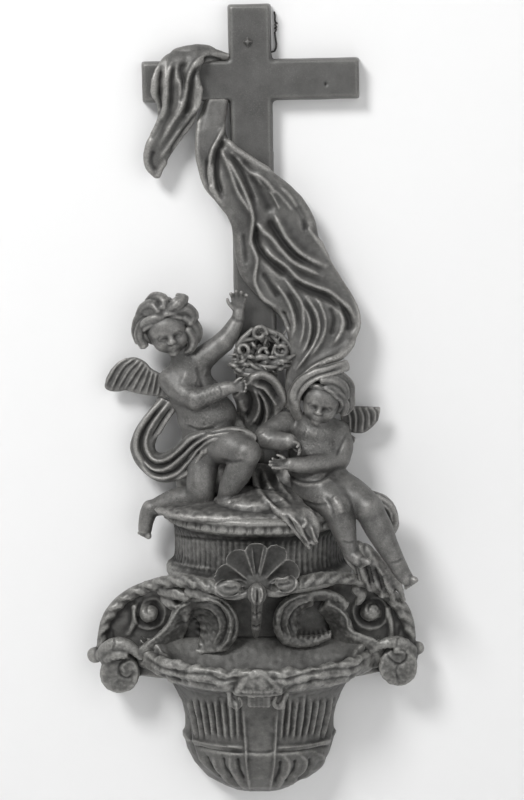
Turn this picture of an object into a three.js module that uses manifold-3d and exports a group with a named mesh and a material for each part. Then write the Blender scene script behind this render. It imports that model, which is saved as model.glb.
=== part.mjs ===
// A wall stoup for holy water, cast in one: a draped cross stands behind two winged children
// on a half-round drum, over a scrolled console with a shell, and a half-round basin.
// Millimetres, +Z up, the front faces -Y. The origin is on the flat back, at the middle of the
// crossing of the cross. In the point lists a depth is the distance in front of that back.
import * as THREE from 'three';
import { mergeVertices } from 'three/addons/utils/BufferGeometryUtils.js';
import Module from 'manifold-3d';

const wasm = await Module();
wasm.setup();

// The cross
const postWidth = 24.8;
const armHeight = 23.6;
const crossThickness = 11;
const faceDraft = 2.2;
const headRise = 42.6;
const armReach = 62;
const crossDrop = 243.5;
const crossLean = 1.15;

// The drum that the children sit on
const corniceRadius = 57.5;
const corniceHeight = 11.5;
const drumRadius = 50;
const drumHeight = 43.5;
const drumFlutes = 28;
const fluteDepth = 1.2;

// The console, its scrolls and its shell
const consoleWidth = 188.6;
const consoleDepth = 20;
const archWidth = 46.3;
const archHeight = 42;
const archBand = 3.3;
const voluteRadius = 11.8;
const voluteDepth = 27;
const rosetteRadius = 9;
const nicheRadius = 24;
const nicheTube = 4.6;
const nicheDepth = 31;
const shellRadius = 25;
const shellThickness = 5;
const shellStandOff = 6.5;
const shellLobes = 7;

// The basin
const consoleHeight = 42.5;
const rimRadius = 71;
const rimHeight = 12.5;
const basinHeight = 90.5;
const basinFlatness = 0.92;
const throatRadius = 57;
const waistRadius = 45;
const bulbRadius = 46.5;
const dishDepth = 13;
const dishWall = 6;
const backWall = 14;
const basinBackWall = 18;
const basinFlutes = 16;

// The figures, by their heights as they kneel and sit, and where they rest on the drum
const kneelHeight = 130;
const kneelPlace = -34.8;
const seatHeight = 125;
const seatPlace = 35.2;

// The shroud, by its fall from the crossing to the seated child's head
const shroudFall = 176;
const clothThickness = 6;

// The crown of thorns
const crownRadius = 12.2;
const crownTube = 2.3;
const thornLength = 5;

// The nail in the upper post and the wire round it
const nailPlace = 21.1;
const nailAside = -1.2;
const nailHead = 6.4;
const nailHeadHeight = 2.2;
const nailShank = 1.8;
const wireThickness = 1.1;
const wireGap = 0.8;
const knotTurns = 3;
const knotRadius = 1.2;
const clearance = 0.3;

// Levels that follow from the sizes above
const lean = THREE.MathUtils.degToRad(crossLean);
const axisX = crossDrop * Math.tan(lean);
const drumTop = -crossDrop;
const drumFoot = drumTop - drumHeight;
const rimTop = drumFoot - consoleHeight;
const basinFoot = rimTop - basinHeight;
const farBehind = 2 * headRise + basinHeight;
const mouldingStep = (corniceRadius - drumRadius) / 5;
const mouldingRadius = drumRadius + 3 * mouldingStep;

// A closed solid from a three.js geometry, with its faces turned outwards
function toSolid(geometry) {
  geometry.deleteAttribute('normal');
  geometry.deleteAttribute('uv');
  const merged = mergeVertices(geometry, 1e-3);
  const place = merged.attributes.position;
  const corners = merged.index.array;
  const a = new THREE.Vector3();
  const b = new THREE.Vector3();
  const c = new THREE.Vector3();
  const kept = [];
  let volume = 0;
  for (let i = 0; i < corners.length; i += 3) {
    const [p, q, r] = [corners[i], corners[i + 1], corners[i + 2]];
    if (p === q || q === r || r === p) continue;
    kept.push([p, q, r]);
    a.fromBufferAttribute(place, p);
    b.fromBufferAttribute(place, q);
    c.fromBufferAttribute(place, r);
    volume += a.dot(b.cross(c));
  }
  const turned = volume < 0 ? kept.map(([p, q, r]) => [p, r, q]) : kept;
  return new wasm.Manifold(new wasm.Mesh({
    numProp: 3,
    vertProperties: new Float32Array(place.array),
    triVerts: new Uint32Array(turned.flat()),
  }));
}

function toMesh(solid, name, material) {
  const { vertProperties, triVerts } = solid.getMesh();
  const geometry = new THREE.BufferGeometry();
  geometry.setAttribute('position', new THREE.BufferAttribute(new Float32Array(vertProperties), 3));
  geometry.setIndex(new THREE.BufferAttribute(new Uint32Array(triVerts), 1));
  geometry.computeVertexNormals();
  const mesh = new THREE.Mesh(geometry, material);
  mesh.name = name;
  return mesh;
}

const join = (solids) => solids.flat(4).reduce((whole, solid) => whole.add(solid));
const smoothLine = (points) => new THREE.CatmullRomCurve3(
  points.map(([x, depth, z]) => new THREE.Vector3(x, -depth, z)), false, 'centripetal');

function block(x0, x1, y0, y1, z0, z1) {
  const box = new THREE.BoxGeometry(x1 - x0, y1 - y0, z1 - z0);
  return toSolid(box.translate((x0 + x1) / 2, (y0 + y1) / 2, (z0 + z1) / 2));
}

// An egg shape at a point [x, depth, z], with its three half-sizes and turns in degrees
function egg([x, depth, z], [sx, sy, sz], [rx, ry, rz] = [0, 0, 0], sides = 6) {
  const ball = new THREE.SphereGeometry(1, sides, Math.ceil(sides * 0.6));
  const turns = [rx, ry, rz].map(THREE.MathUtils.degToRad);
  const turn = new THREE.Matrix4().makeRotationFromEuler(new THREE.Euler(...turns));
  return toSolid(ball.rotateX(Math.PI / 2).scale(sx, sy, sz).applyMatrix4(turn).translate(x, -depth, z));
}

// A round limb through points [x, depth, z, radius], with domed or, for small ones, pointed ends
function limb(points, sides = 6, steps = 1, domed = true) {
  const line = smoothLine(points);
  const count = (points.length - 1) * steps;
  const frames = line.computeFrenetFrames(count);
  const radiusAt = (share) => {
    const at = line.getUtoTmapping(share) * (points.length - 1);
    const k = Math.min(Math.floor(at), points.length - 2);
    return THREE.MathUtils.lerp(points[k][3], points[k + 1][3], at - k);
  };
  const rings = [];
  for (let i = 0; i <= count; i += 1) {
    rings.push({ at: i, radius: radiusAt(i / count), ahead: 0 });
  }
  const [first, last] = [rings[0], rings[count]];
  const caps = domed ? [[0.72, 0.62], [0, 0.95]] : [[0, 0.8]];
  for (const [width, out] of caps) {
    rings.unshift({ at: 0, radius: first.radius * width, ahead: -first.radius * out });
    rings.push({ at: count, radius: last.radius * width, ahead: last.radius * out });
  }
  const turned = new THREE.LatheGeometry(rings.map((ring, i) => new THREE.Vector2(ring.radius, i)), sides);
  const place = turned.attributes.position;
  for (let i = 0; i < place.count; i += 1) {
    const ring = rings[i % rings.length];
    const point = line.getPointAt(ring.at / count);
    point.addScaledVector(frames.tangents[ring.at], ring.ahead);
    point.addScaledVector(frames.normals[ring.at], place.getX(i));
    point.addScaledVector(frames.binormals[ring.at], place.getZ(i));
    place.setXYZ(i, point.x, point.y, point.z);
  }
  return toSolid(turned);
}

// A cloth or wing between two edges, raised by fold(across, along) over its front
function sheet(edgeA, edgeB, { across = 8, along = 12, thick = clothThickness, fold = () => 0 }) {
  const first = smoothLine(edgeA);
  const second = smoothLine(edgeB);
  const slab = new THREE.BoxGeometry(1, 1, 1, across, 1, along);
  const place = slab.attributes.position;
  for (let i = 0; i < place.count; i += 1) {
    const u = place.getX(i) + 0.5;
    const v = place.getZ(i) + 0.5;
    const point = first.getPoint(v).lerp(second.getPoint(v), u);
    const back = place.getY(i) > 0;
    place.setXYZ(i, point.x, point.y + (back ? thick : -fold(u, v)), point.z);
  }
  return toSolid(slab);
}

const wave = (turns) => 0.5 - 0.5 * Math.cos(2 * Math.PI * turns);
const ridges = (height, count, drift = 0) => (u, v) => (
  height * (0.35 * Math.sin(Math.PI * u) + 0.65 * wave(count * u + drift * v) ** 1.4));

// A turned body about the drum's axis, its radius carved by carve(angle, height, radius)
function turnedBody(profile, segments, carve = (angle, z, radius) => radius, flatness = 1) {
  const body = new THREE.LatheGeometry(profile.map(([r, z]) => new THREE.Vector2(r, z)), segments);
  const place = body.attributes.position;
  for (let i = 0; i < place.count; i += 1) {
    const [x, z, y] = [place.getX(i), place.getY(i), place.getZ(i)];
    const radius = Math.hypot(x, y);
    const angle = Math.atan2(x, y);
    const carved = radius < 1e-6 ? 0 : carve(angle, z, radius);
    place.setXYZ(i, axisX + carved * Math.sin(angle), -carved * Math.cos(angle) * flatness, z);
  }
  return toSolid(body);
}

function plate(shape, depth, curveSegments = 8) {
  const solid = new THREE.ExtrudeGeometry(shape, { depth, bevelEnabled: false, curveSegments });
  return toSolid(solid.rotateX(Math.PI / 2));
}

// The cross tapers to its front face and leans a little, as the casting does
function taperedBar(halfWidth, bottom, top) {
  const bar = new THREE.BoxGeometry(2, 1, 2);
  const place = bar.attributes.position;
  for (let i = 0; i < place.count; i += 1) {
    const front = place.getY(i) < 0;
    const inset = front ? faceDraft : 0;
    const x = place.getX(i) * (halfWidth - inset);
    const z = place.getZ(i) > 0 ? top - inset : bottom + inset;
    place.setXYZ(i, x, front ? -crossThickness : 0, z);
  }
  return toSolid(bar.rotateY(-lean));
}

function makeCross() {
  const post = taperedBar(postWidth / 2, drumTop - corniceHeight, headRise);
  const arms = taperedBar(armReach, -armHeight / 2, armHeight / 2);
  return [post, arms];
}

// Points of the shroud as hundredths of its fall: x, depth and height from the crossing
const shroudPoint = ([x, depth, z, radius = 0]) => [x, depth, z, radius].map((n) => (n * shroudFall) / 100);
const shroudEdge = (points) => points.map(shroudPoint);

function makeShroud() {
  const front = shroudEdge([
    [-7.0, 2, -6], [-9, 4, -13], [-7.9, 7.4, -18], [-0.5, 8.5, -24], [7.6, 8, -29.3], [16, 7.4, -35.7],
    [21.2, 7.4, -43], [23.1, 7.4, -50.6], [27.7, 8, -60], [33, 9.1, -70], [35.2, 10.2, -77.6],
    [32.9, 12.5, -85], [26, 16, -89.6], [19.8, 20.5, -93.2], [17, 22, -99]]);
  const rear = shroudEdge([
    [-15.4, 1.7, -6], [-16.7, 2.3, -14.4], [-17.7, 2.8, -22.4], [-16.8, 3.4, -29.4], [-14.5, 4.5, -35.9],
    [-9.6, 5.7, -42.3], [-4.1, 7.4, -48.6], [-0.2, 8, -54.4], [1.4, 8, -62.6], [3.7, 8, -70],
    [7.9, 8, -74], [10.9, 8, -78.9], [12.8, 9.1, -85.3], [13.5, 11.4, -92.6], [12.2, 13.6, -100]]);
  const sweep = sheet(rear, front, { across: 10, along: 13, fold: ridges(7, 2.5, 0.8) });
  const outer = shroudEdge([
    [-27, 1, 7.3], [-30.4, 9, 4.4], [-30.5, 9.6, -1.6], [-29.6, 9, -8], [-29.3, 8.5, -12],
    [-32, 8, -17.4], [-33.7, 7.4, -23.8], [-33.4, 6.8, -28], [-31.5, 6.8, -31.2]]);
  const inner = shroudEdge([
    [-8, 1, 7.3], [-13, 6.5, 7.2], [-18, 9.6, 1.6], [-15.9, 9.6, -4], [-16.1, 9, -10.1],
    [-18.5, 8.5, -14.3], [-22.3, 8, -19.3], [-25.6, 7.4, -24.8], [-29.6, 6.8, -31.2]]);
  const end = sheet(outer, inner, { across: 8, along: 8, fold: ridges(5, 2, -0.3) });
  const roll = limb(shroudEdge([
    [-27, 5, 6.9, 2.2], [-22, 5.6, 8.6, 2.8], [-17, 5.6, 9.2, 3], [-12.3, 5, 8.8, 2.6],
    [-8, 3.4, 6.6, 2.4], [-8.4, 4, 0, 2.6], [-11, 3.6, -8, 3]]), 6, 1, false);
  return [sweep, end, roll];
}

// Each figure's points are hundredths of its own height from where it rests on the drum
const placer = (x0, height) => ([x, depth, z, radius = 0]) => [
  axisX + x0 + (x * height) / 100, (depth * height) / 100,
  drumTop + (z * height) / 100, (radius * height) / 100];

// A child's head with full cheeks and short locks, in shares of its radius, face towards -Y.
// Each swelling of the ball is [direction x, y, z, height, spread].
function makeHead([x, depth, z, radius], turns, lockRows) {
  const euler = new THREE.Euler(...turns.map(THREE.MathUtils.degToRad), 'ZXY');
  const at = (p) => {
    const point = new THREE.Vector3(...p).multiplyScalar(radius).applyEuler(euler);
    return [x + point.x, depth - point.y, z + point.z];
  };
  const swellings = [
    [0, -0.8, 0.3, 0.08, 0.3], [0.45, -0.8, -0.4, 0.1, 0.14], [-0.45, -0.8, -0.4, 0.1, 0.14],
    [0, -0.65, -0.85, 0.16, 0.12], [0, 0.6, 0.4, 0.08, 0.5], [0.4, -0.9, -0.02, -0.07, 0.05],
    [-0.4, -0.9, -0.02, -0.07, 0.05]];
  const ball = new THREE.SphereGeometry(1, 14, 9).rotateX(Math.PI / 2);
  const place = ball.attributes.position;
  for (let i = 0; i < place.count; i += 1) {
    const way = new THREE.Vector3().fromBufferAttribute(place, i).normalize();
    let size = 0.92;
    for (const [sx, sy, sz, height, spread] of swellings) {
      const apart = way.distanceToSquared(new THREE.Vector3(sx, sy, sz).normalize());
      size += height * Math.exp(-apart / spread);
    }
    const hairLine = 0.42 + 0.75 * Math.max(0, way.y);
    if (way.z > 0.42 - hairLine * 0.9 * Math.max(0, way.y + 0.55)) {
      size += 0.06 + 0.07 * Math.sin(lockRows * Math.atan2(way.x, -way.y) + 3 * way.z) * Math.cos(7 * way.z);
    }
    const [px, pd, pz] = at([way.x * size * 0.94, way.y * size, way.z * size]);
    place.setXYZ(i, px, -pd, pz);
  }
  const part = (p, sizes) => egg(at(p), sizes.map((share) => share * radius), turns, 5);
  return [toSolid(ball), part([0, -0.98, -0.2], [0.15, 0.2, 0.22]), part([0, -0.94, -0.5], [0.22, 0.14, 0.1]),
    part([0.86, 0.05, -0.2], [0.14, 0.2, 0.26]), part([-0.86, 0.05, -0.2], [0.14, 0.2, 0.26])];
}

// A hand: a palm and five fingers that spread about the way it points
function makeHand(wrist, tip, palm, spread) {
  const start = new THREE.Vector3(wrist[0], -wrist[1], wrist[2]);
  const way = new THREE.Vector3(tip[0], -tip[1], tip[2]).sub(start).normalize();
  const side = new THREE.Vector3(0, 1, 0).cross(way).normalize();
  const reach = (along, aside) => {
    const point = start.clone().addScaledVector(way, along * palm).addScaledVector(side, aside * palm);
    return [point.x, -point.y, point.z];
  };
  const parts = [limb([[...reach(0, 0), palm * 0.6], [...reach(1.1, 0), palm * 0.8]], 6, 1, false)];
  for (let i = 0; i < 4; i += 1) {
    const aside = (i - 1.5) * 0.42;
    const far = 2.5 - Math.abs(i - 1.4) * 0.25;
    const knuckle = [...reach(1.2, aside), palm * 0.29];
    const tip = [...reach(far, aside * spread), palm * 0.22];
    parts.push(limb([knuckle, tip], 4, 1, false));
  }
  parts.push(limb([[...reach(0.5, -0.6), palm * 0.32], [...reach(1.5, -1.35), palm * 0.24]], 4, 1, false));
  return parts;
}

const feathers = (height, count) => (u, v) => height * (0.4 * Math.sin(Math.PI * u) + 0.6 * ((count * v) % 1));

function makeKneelingChild() {
  const at = placer(kneelPlace, kneelHeight);
  const line = (points) => points.map(at);
  const head = makeHead(at([-12.5, 29.2, 81.5, 11.9]), [14, 14, 16], 7);
  const body = [
    limb(line([[-5.5, 24, 71, 4.6], [-6.1, 21.5, 66.9, 5.4], [-4.5, 21, 60, 8]]), 7),
    limb(line([[-4.2, 20.4, 58, 11.6], [-0.5, 21.4, 51, 12.6], [3, 22, 42.5, 13],
      [6.6, 20.8, 30.3, 12.4]]), 8),
    egg(at([-12, 20.8, 57.6]), [9, 9.5, 9.4]), egg(at([3, 19, 63.5]), [9.6, 10, 9.6]),
    limb(line([[-12.3, 20.8, 57.4, 6.4], [-5.6, 30, 48.2, 5.6], [4, 33.2, 52.4, 5],
      [11.2, 32.4, 55.1, 3.8]])),
    limb(line([[3.5, 18.5, 64.5, 6.8], [13, 16.9, 75, 5.8], [17.6, 14.6, 86, 4],
      [17.7, 13.4, 89.5, 3.4]])),
    limb(line([[8.5, 22, 28.5, 9.6], [15, 31, 28.5, 8.8], [21.2, 38.5, 26.1, 7.2], [15.5, 36.5, 17, 6.2],
      [10.6, 33.8, 7.5, 4.6], [9.6, 34.5, 2, 4.4]]), 7),
    limb(line([[2, 20.8, 27, 9.4], [1.2, 24, 18, 8.6], [-0.5, 27.7, 8.2, 7.2], [-8, 24, 2.4, 5.4],
      [-20.5, 16.9, -1.4, 3.8], [-23.6, 14.8, -3, 3.5]]), 7),
    limb(line([[-22.6, 14.8, -1.4, 3.5], [-24.7, 15.4, -7.1, 3.2], [-25.6, 16.2, -13.3, 2.4]]), 6),
  ];
  const raised = makeHand(at([17.7, 13.4, 89.5]), at([17, 11, 100]), kneelHeight * 0.034, 2.1);
  const holding = makeHand(at([11.5, 31.4, 55.4]), at([22, 28, 60]), kneelHeight * 0.034, 1.2);
  const sash = sheet(
    line([[-16.8, 12.3, 48.1], [-23.5, 12.3, 39.1], [-29.7, 13.8, 31.2], [-30.2, 15.4, 24.8],
      [-26.1, 16.9, 17.4], [-16.7, 20, 11.7], [-7.2, 24.6, 14.8], [2.2, 29.2, 22.1], [13.3, 32.3, 30.7]]),
    line([[-11.8, 14, 45.2], [-11.9, 13, 38.6], [-16, 13.6, 32.8], [-19.1, 15.5, 27.4],
      [-15.8, 19, 24.2], [-10.7, 24.5, 27.5], [-5.2, 29, 32.9], [2.4, 32.4, 36.3], [13.3, 33.6, 37.8]]),
    { across: 4, along: 11, fold: ridges(3.4, 1, 0.4) });
  const waist = limb(line([[-5.1, 29.2, 34.5, 2.4], [3.3, 33.2, 36.4, 2.8], [14.2, 33, 37, 2.8],
    [22.8, 29.2, 34.5, 2.8], [25.8, 24.6, 28.3, 2.4]]), 6, 1);
  const wing = sheet(
    line([[-14, 13, 57], [-17.2, 12.3, 58.5], [-21.6, 10.8, 60.9], [-25.2, 9.2, 65.2], [-30.6, 8.5, 65.5],
      [-36.5, 7.7, 63.2], [-40.6, 6.9, 57.6], [-42.6, 6.2, 51.6]]),
    line([[-13, 15.5, 48], [-17.2, 13.8, 47.9], [-21.7, 11.5, 48.5], [-26.2, 10, 49.1], [-30.2, 9.2, 50.3],
      [-34.8, 8.5, 49.4], [-38.4, 7.7, 49.4], [-41.6, 6.2, 49.4]]),
    { across: 2, along: 10, thick: clothThickness * 0.6, fold: feathers(2.6, 5) });
  return [head, body, raised, holding, sash, waist, wing];
}

function makeSeatedChild() {
  const at = placer(seatPlace, seatHeight);
  const line = (points) => points.map(at);
  const head = makeHead(at([1.1, 33.6, 53.9, 12]), [18, -15, -6], 6);
  const body = [
    limb(line([[-0.6, 28, 45, 5], [-1.4, 26.6, 41, 5.6], [-3, 26, 36, 8]]), 7),
    limb(line([[-4, 24, 33.5, 12], [-4.2, 25.6, 26, 13], [-1.8, 26.6, 18.2, 13.6], [1, 24, 9.5, 13]]), 8),
    egg(at([-14.5, 25, 36.6]), [9.6, 10, 9.4]), egg(at([6.6, 24, 35]), [9.2, 9.6, 9.4]),
    limb(line([[-17.6, 25.6, 37.4, 7.2], [-25.2, 32, 34.4, 7], [-16.1, 37.6, 32.5, 5.4],
      [-11.4, 38.4, 31.8, 4]])),
    limb(line([[8, 24, 34.6, 6.8], [7.4, 31, 24.5, 6.4], [-5, 38, 22.8, 5], [-12, 38.8, 23.6, 3.8]])),
    limb(line([[-5.8, 27.2, 10.2, 11.4], [0, 38, 9.4, 10.6], [6, 45.6, 5.8, 9], [9.4, 47, -4, 7.2],
      [12.1, 46.2, -15.1, 4.8]]), 7),
    limb(line([[5.3, 25.6, 9.6, 10.4], [14, 34, 7, 9.4], [21, 42.2, 2.5, 8.4], [28.2, 44.6, -10, 6.8],
      [34.4, 44.8, -23, 4.8]]), 7),
    limb(line([[11.5, 44, -16.2, 4.2], [14.4, 50.4, -18.3, 3.6], [18.4, 54, -20.2, 2.4]]), 6),
    limb(line([[34.7, 43.2, -24.3, 4.2], [37.6, 48, -26.7, 3.6], [40.6, 51.6, -29.6, 2.4]]), 6),
  ];
  const upper = makeHand(at([-11.6, 38, 31.8]), at([-3, 38.6, 29.8]), seatHeight * 0.034, 1.1);
  const lower = makeHand(at([-12, 38.4, 24]), at([-22, 38.8, 25]), seatHeight * 0.034, 1.3);
  const hood = sheet(
    line([[-12.6, 23, 46], [-13.2, 26, 52.5], [-12.8, 27.6, 58.6], [-8.3, 30.4, 64.6], [-0.7, 32, 67.4],
      [7.4, 29, 68], [12.6, 25, 62.6], [13.6, 22, 55]]),
    line([[-8.4, 33, 47.5], [-9.4, 35.6, 53.3], [-8.8, 38.2, 58.4], [-5, 40.6, 62.6], [0.6, 41, 64.8],
      [6.8, 37.4, 64.8], [11, 32, 60], [12, 27, 53]]),
    { across: 3, along: 9, thick: clothThickness, fold: ridges(2, 1.5) });
  const hipCloth = sheet(
    line([[11, 18, 12.5], [20, 15, 13], [29, 13, 9], [36.2, 14, 0], [37.2, 18, -6], [33.8, 24, -11.4]]),
    line([[6, 27, 6], [14.5, 33.6, 4.4], [20.5, 36, 3.2], [27, 35.4, -1.4], [30.6, 32, -5], [30, 30, -9]]),
    { across: 4, along: 6, thick: clothThickness * 0.8, fold: ridges(3, 1) });
  const wing = sheet(
    line([[7, 22, 45], [11.5, 20.8, 47], [15.6, 17.6, 47], [20, 14.4, 46.3], [24.4, 12, 46], [28.6, 10.4, 46]]),
    line([[7, 23, 32], [10.3, 20.8, 31], [14.6, 17.6, 33.4], [18.9, 15.2, 34.1], [23.7, 12.8, 36],
      [27.6, 10.4, 40]]),
    { across: 2, along: 8, thick: clothThickness * 0.6, fold: feathers(2.6, 4) });
  return [head, body, upper, lower, hood, hipCloth, wing];
}

// Cloth that falls from the kneeling child's hand and over the edge of the drum. What hangs from the
// hand follows the child, and what lies on the drum is in hundredths of the cornice's radius.
function makeLooseCloth() {
  const fromHand = (points) => points.map(placer(kneelPlace, kneelHeight));
  const onDrum = (points) => points.map(placer(0, corniceRadius));
  const fan = sheet(
    fromHand([[12, 29.5, 54], [16.6, 26, 48.5], [18.4, 23, 41.7], [19, 19, 31]]),
    fromHand([[28, 25, 62.5], [33.6, 23, 57], [38.5, 21, 49], [40, 18, 36]]),
    { across: 8, along: 3, thick: clothThickness * 1.6, fold: ridges(3.4, 2) });
  const lap = sheet(
    onDrum([[3, 41, 45], [-3, 61, 24], [7, 85, 11], [23, 100, 3.2], [30, 106, -10], [41, 104, -26]]),
    onDrum([[25, 45, 45], [33, 70, 22], [43, 93, 10], [50, 100, 0], [56, 100, -12], [60, 97, -27]]),
    { across: 4, along: 8, fold: ridges(3, 1, 1.2) });
  const fall = sheet(
    onDrum([[75, 86, -27], [89, 90, -49], [102, 84, -68], [111, 74, -81]]),
    onDrum([[111, 80, -22], [125, 80, -48], [138, 75, -70], [138, 60, -90]]),
    { across: 6, along: 4, thick: clothThickness * 2.3, fold: ridges(3.6, 1.5) });
  const mound = egg([axisX - corniceRadius * 0.17, corniceRadius * 0.54, drumTop + 1],
    [corniceRadius * 0.6, corniceRadius * 0.42, corniceRadius * 0.105], [0, 0, 0], 9);
  return [fan, lap, fall, mound];
}

// Twisted stems in a ring, with thorns, seen half from above
function makeCrown() {
  const hand = placer(kneelPlace, kneelHeight)([20, 28.5, 59]);
  const x = hand[0] + crownRadius * 1.45;
  const depth = hand[1] - crownRadius * 0.7;
  const z = hand[2] + crownRadius * 1.15;
  const tilt = new THREE.Euler(THREE.MathUtils.degToRad(62), THREE.MathUtils.degToRad(8), 0);
  const centre = new THREE.Vector3(x, -depth, z);
  const onRing = (angle, out, up) => new THREE.Vector3(
    (crownRadius + out) * Math.cos(angle), (crownRadius + out) * Math.sin(angle), up).applyEuler(tilt).add(centre);
  const ring = new THREE.TorusGeometry(crownRadius, crownTube, 4, 20);
  const place = ring.attributes.position;
  for (let i = 0; i < place.count; i += 1) {
    const angle = Math.atan2(place.getY(i), place.getX(i));
    const aside = Math.hypot(place.getX(i), place.getY(i)) - crownRadius;
    const size = 1.25 + 0.45 * Math.cos(10 * angle);
    const point = onRing(angle, aside * size + crownTube * 0.4 * Math.cos(3 * angle), place.getZ(i) * size);
    place.setXYZ(i, point.x, point.y, point.z);
  }
  const twig = onRing(THREE.MathUtils.degToRad(215), 0, 0);
  const held = limb([[...hand, crownTube], [twig.x, -twig.y, twig.z, crownTube]], 5, 1, false);
  const parts = [toSolid(ring), held];
  const thornCount = 8;
  for (let i = 0; i < thornCount; i += 1) {
    const angle = (i / thornCount) * 2 * Math.PI;
    const up = (i % 2 ? 1 : -1) * thornLength * 0.7;
    const root = onRing(angle, 0, 0);
    const tip = onRing(angle + 0.25, thornLength, up);
    const ends = [[root, 0.7], [tip, 0.2]].map(([end, size]) => [end.x, -end.y, end.z, crownTube * size]);
    parts.push(limb(ends, 4, 1, false));
  }
  return parts;
}

function makeDrum() {
  const neckTop = drumTop - corniceHeight;
  const neckFoot = drumFoot + drumHeight * 0.33;
  const step = mouldingStep;
  const mouldings = turnedBody([
    [0, drumTop], [corniceRadius - step, drumTop], [corniceRadius, drumTop - step],
    [corniceRadius, drumTop - corniceHeight * 0.4], [corniceRadius - 2 * step, drumTop - corniceHeight * 0.5],
    [corniceRadius - step, drumTop - corniceHeight * 0.75], [drumRadius - step, neckTop],
    [drumRadius - 2 * step, neckTop], [drumRadius - 2 * step, neckFoot],
    [drumRadius + 2 * step, neckFoot - step],
    [mouldingRadius, drumFoot + drumHeight * 0.14], [drumRadius * 0.94, drumFoot], [0, drumFoot]], 32);
  const neck = turnedBody([
    [0, neckTop + 1], [drumRadius, neckTop + 1], [drumRadius, neckFoot - 2], [0, neckFoot - 2]],
  drumFlutes * 2, (angle, z, radius) => radius - fluteDepth * wave((angle * drumFlutes) / (2 * Math.PI)));
  return [mouldings, neck];
}

// The shell in front of the drum's foot, with a bud below its hub and a scroll on each side
function makeShell() {
  const hub = new THREE.Vector3(axisX, -(mouldingRadius + shellStandOff), drumFoot + drumHeight * 0.17);
  const slab = new THREE.BoxGeometry(1, 1, 1, shellLobes * 2, 1, 2);
  const place = slab.attributes.position;
  for (let i = 0; i < place.count; i += 1) {
    const across = place.getX(i) * 2;
    const out = place.getZ(i) + 0.5;
    const angle = across * THREE.MathUtils.degToRad(100);
    const lobe = Math.abs(Math.cos((across * shellLobes * Math.PI) / 2));
    const radius = shellRadius * (0.2 + 0.72 * out + 0.12 * out * lobe);
    const rise = shellThickness * out * (0.3 * (1 - lobe) + 0.5 * out);
    const front = place.getY(i) < 0 ? rise : -shellThickness * (1 + out);
    place.setXYZ(i, hub.x + radius * 0.92 * Math.sin(angle), hub.y - front, hub.z + radius * Math.cos(angle));
  }
  const at = ([x, depth, z, radius]) => [
    hub.x + x * shellRadius, -hub.y + depth * shellRadius, hub.z + z * shellRadius, radius * shellRadius];
  const bud = egg(at([0, -0.04, -0.12, 0]), [0.24, 0.28, 0.34].map((n) => n * shellRadius), [12, 0, 0], 7);
  const stem = limb([[0, -0.12, -0.32, 0.2], [0, -0.48, -0.8, 0.22], [0, -0.88, -1.28, 0.18],
    [0, -1.04, -1.64, 0.1]].map(at), 6, 1, false);
  const curls = [-1, 1].map((side) => limb([
    [side * 0.24, -0.16, -0.2, 0.12], [side * 0.6, -0.16, -0.16, 0.14],
    [side * 0.84, -0.2, 0.08, 0.11], [side * 0.64, -0.08, 0.12, 0.07]].map(at), 6, 1, false));
  return [toSolid(slab), bud, stem, curls];
}

function makeConsole() {
  const half = consoleWidth / 2;
  const archCentre = half - archWidth;
  const archFoot = drumFoot + 3 - archHeight;
  const outline = new THREE.Shape();
  outline.moveTo(-archCentre, archFoot + archHeight);
  outline.lineTo(archCentre, archFoot + archHeight);
  outline.absellipse(archCentre, archFoot, archWidth, archHeight, Math.PI / 2, 0, true);
  outline.lineTo(half, rimTop - rimHeight);
  outline.lineTo(throatRadius, rimTop - 2 * rimHeight);
  outline.lineTo(-throatRadius, rimTop - 2 * rimHeight);
  outline.lineTo(-half, rimTop - rimHeight);
  outline.lineTo(-half, archFoot);
  outline.absellipse(-archCentre, archFoot, archWidth, archHeight, Math.PI, Math.PI / 2, true);
  const slab = plate(outline, consoleDepth).translate(axisX, 0, 0);
  const parts = [slab];
  for (const side of [-1, 1]) {
    const band = [];
    const bumps = 10;
    for (let i = 0; i <= bumps; i += 1) {
      const angle = (1 - i / bumps) * (Math.PI / 2);
      const radius = archBand * (i % 2 ? 1.15 : 0.85);
      band.push([axisX + side * (archCentre + (archWidth - archBand) * Math.cos(angle)), consoleDepth,
        archFoot + (archHeight - archBand) * Math.sin(angle), radius]);
    }
    parts.push(limb(band, 5, 1, false));
    const voluteX = axisX + side * (half - voluteRadius - 1);
    const voluteZ = rimTop - voluteRadius + 1;
    const face = new THREE.LatheGeometry([[0, 0], [1, 0], [1, 0.9], [0.84, 0.94], [0.56, 0.84],
      [0.34, 1], [0, 1.04]].map(([r, d]) => new THREE.Vector2(r * voluteRadius, d * voluteDepth)), 11);
    parts.push(toSolid(face.rotateX(Math.PI).translate(voluteX, 0, voluteZ)));
    parts.push(egg([voluteX + side * (voluteRadius + 3), voluteDepth * 0.6, voluteZ + 6], [5, 6, 5]));
    const rosetteX = axisX + side * (archCentre + archWidth * 0.38);
    const rosetteZ = archFoot + archHeight * 0.46;
    const rosette = new THREE.LatheGeometry([[0, 0], [1, 0], [0.9, 0.36], [0.42, 0.4],
      [0, 0.72]].map(([r, d]) => new THREE.Vector2(r * rosetteRadius, consoleDepth + d * rosetteRadius)), 12);
    const petals = rosette.attributes.position;
    for (let i = 0; i < petals.count; i += 1) {
      const [x, y, z] = [petals.getX(i), petals.getY(i), petals.getZ(i)];
      const size = 0.84 + 0.16 * Math.cos(4 * Math.atan2(z, x));
      petals.setXYZ(i, x * size, y > consoleDepth ? y : consoleDepth - 2, z * size);
    }
    parts.push(toSolid(rosette.rotateX(Math.PI).translate(rosetteX, 0, rosetteZ)));
    parts.push(makeNicheScroll(side));
  }
  return parts;
}

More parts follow.
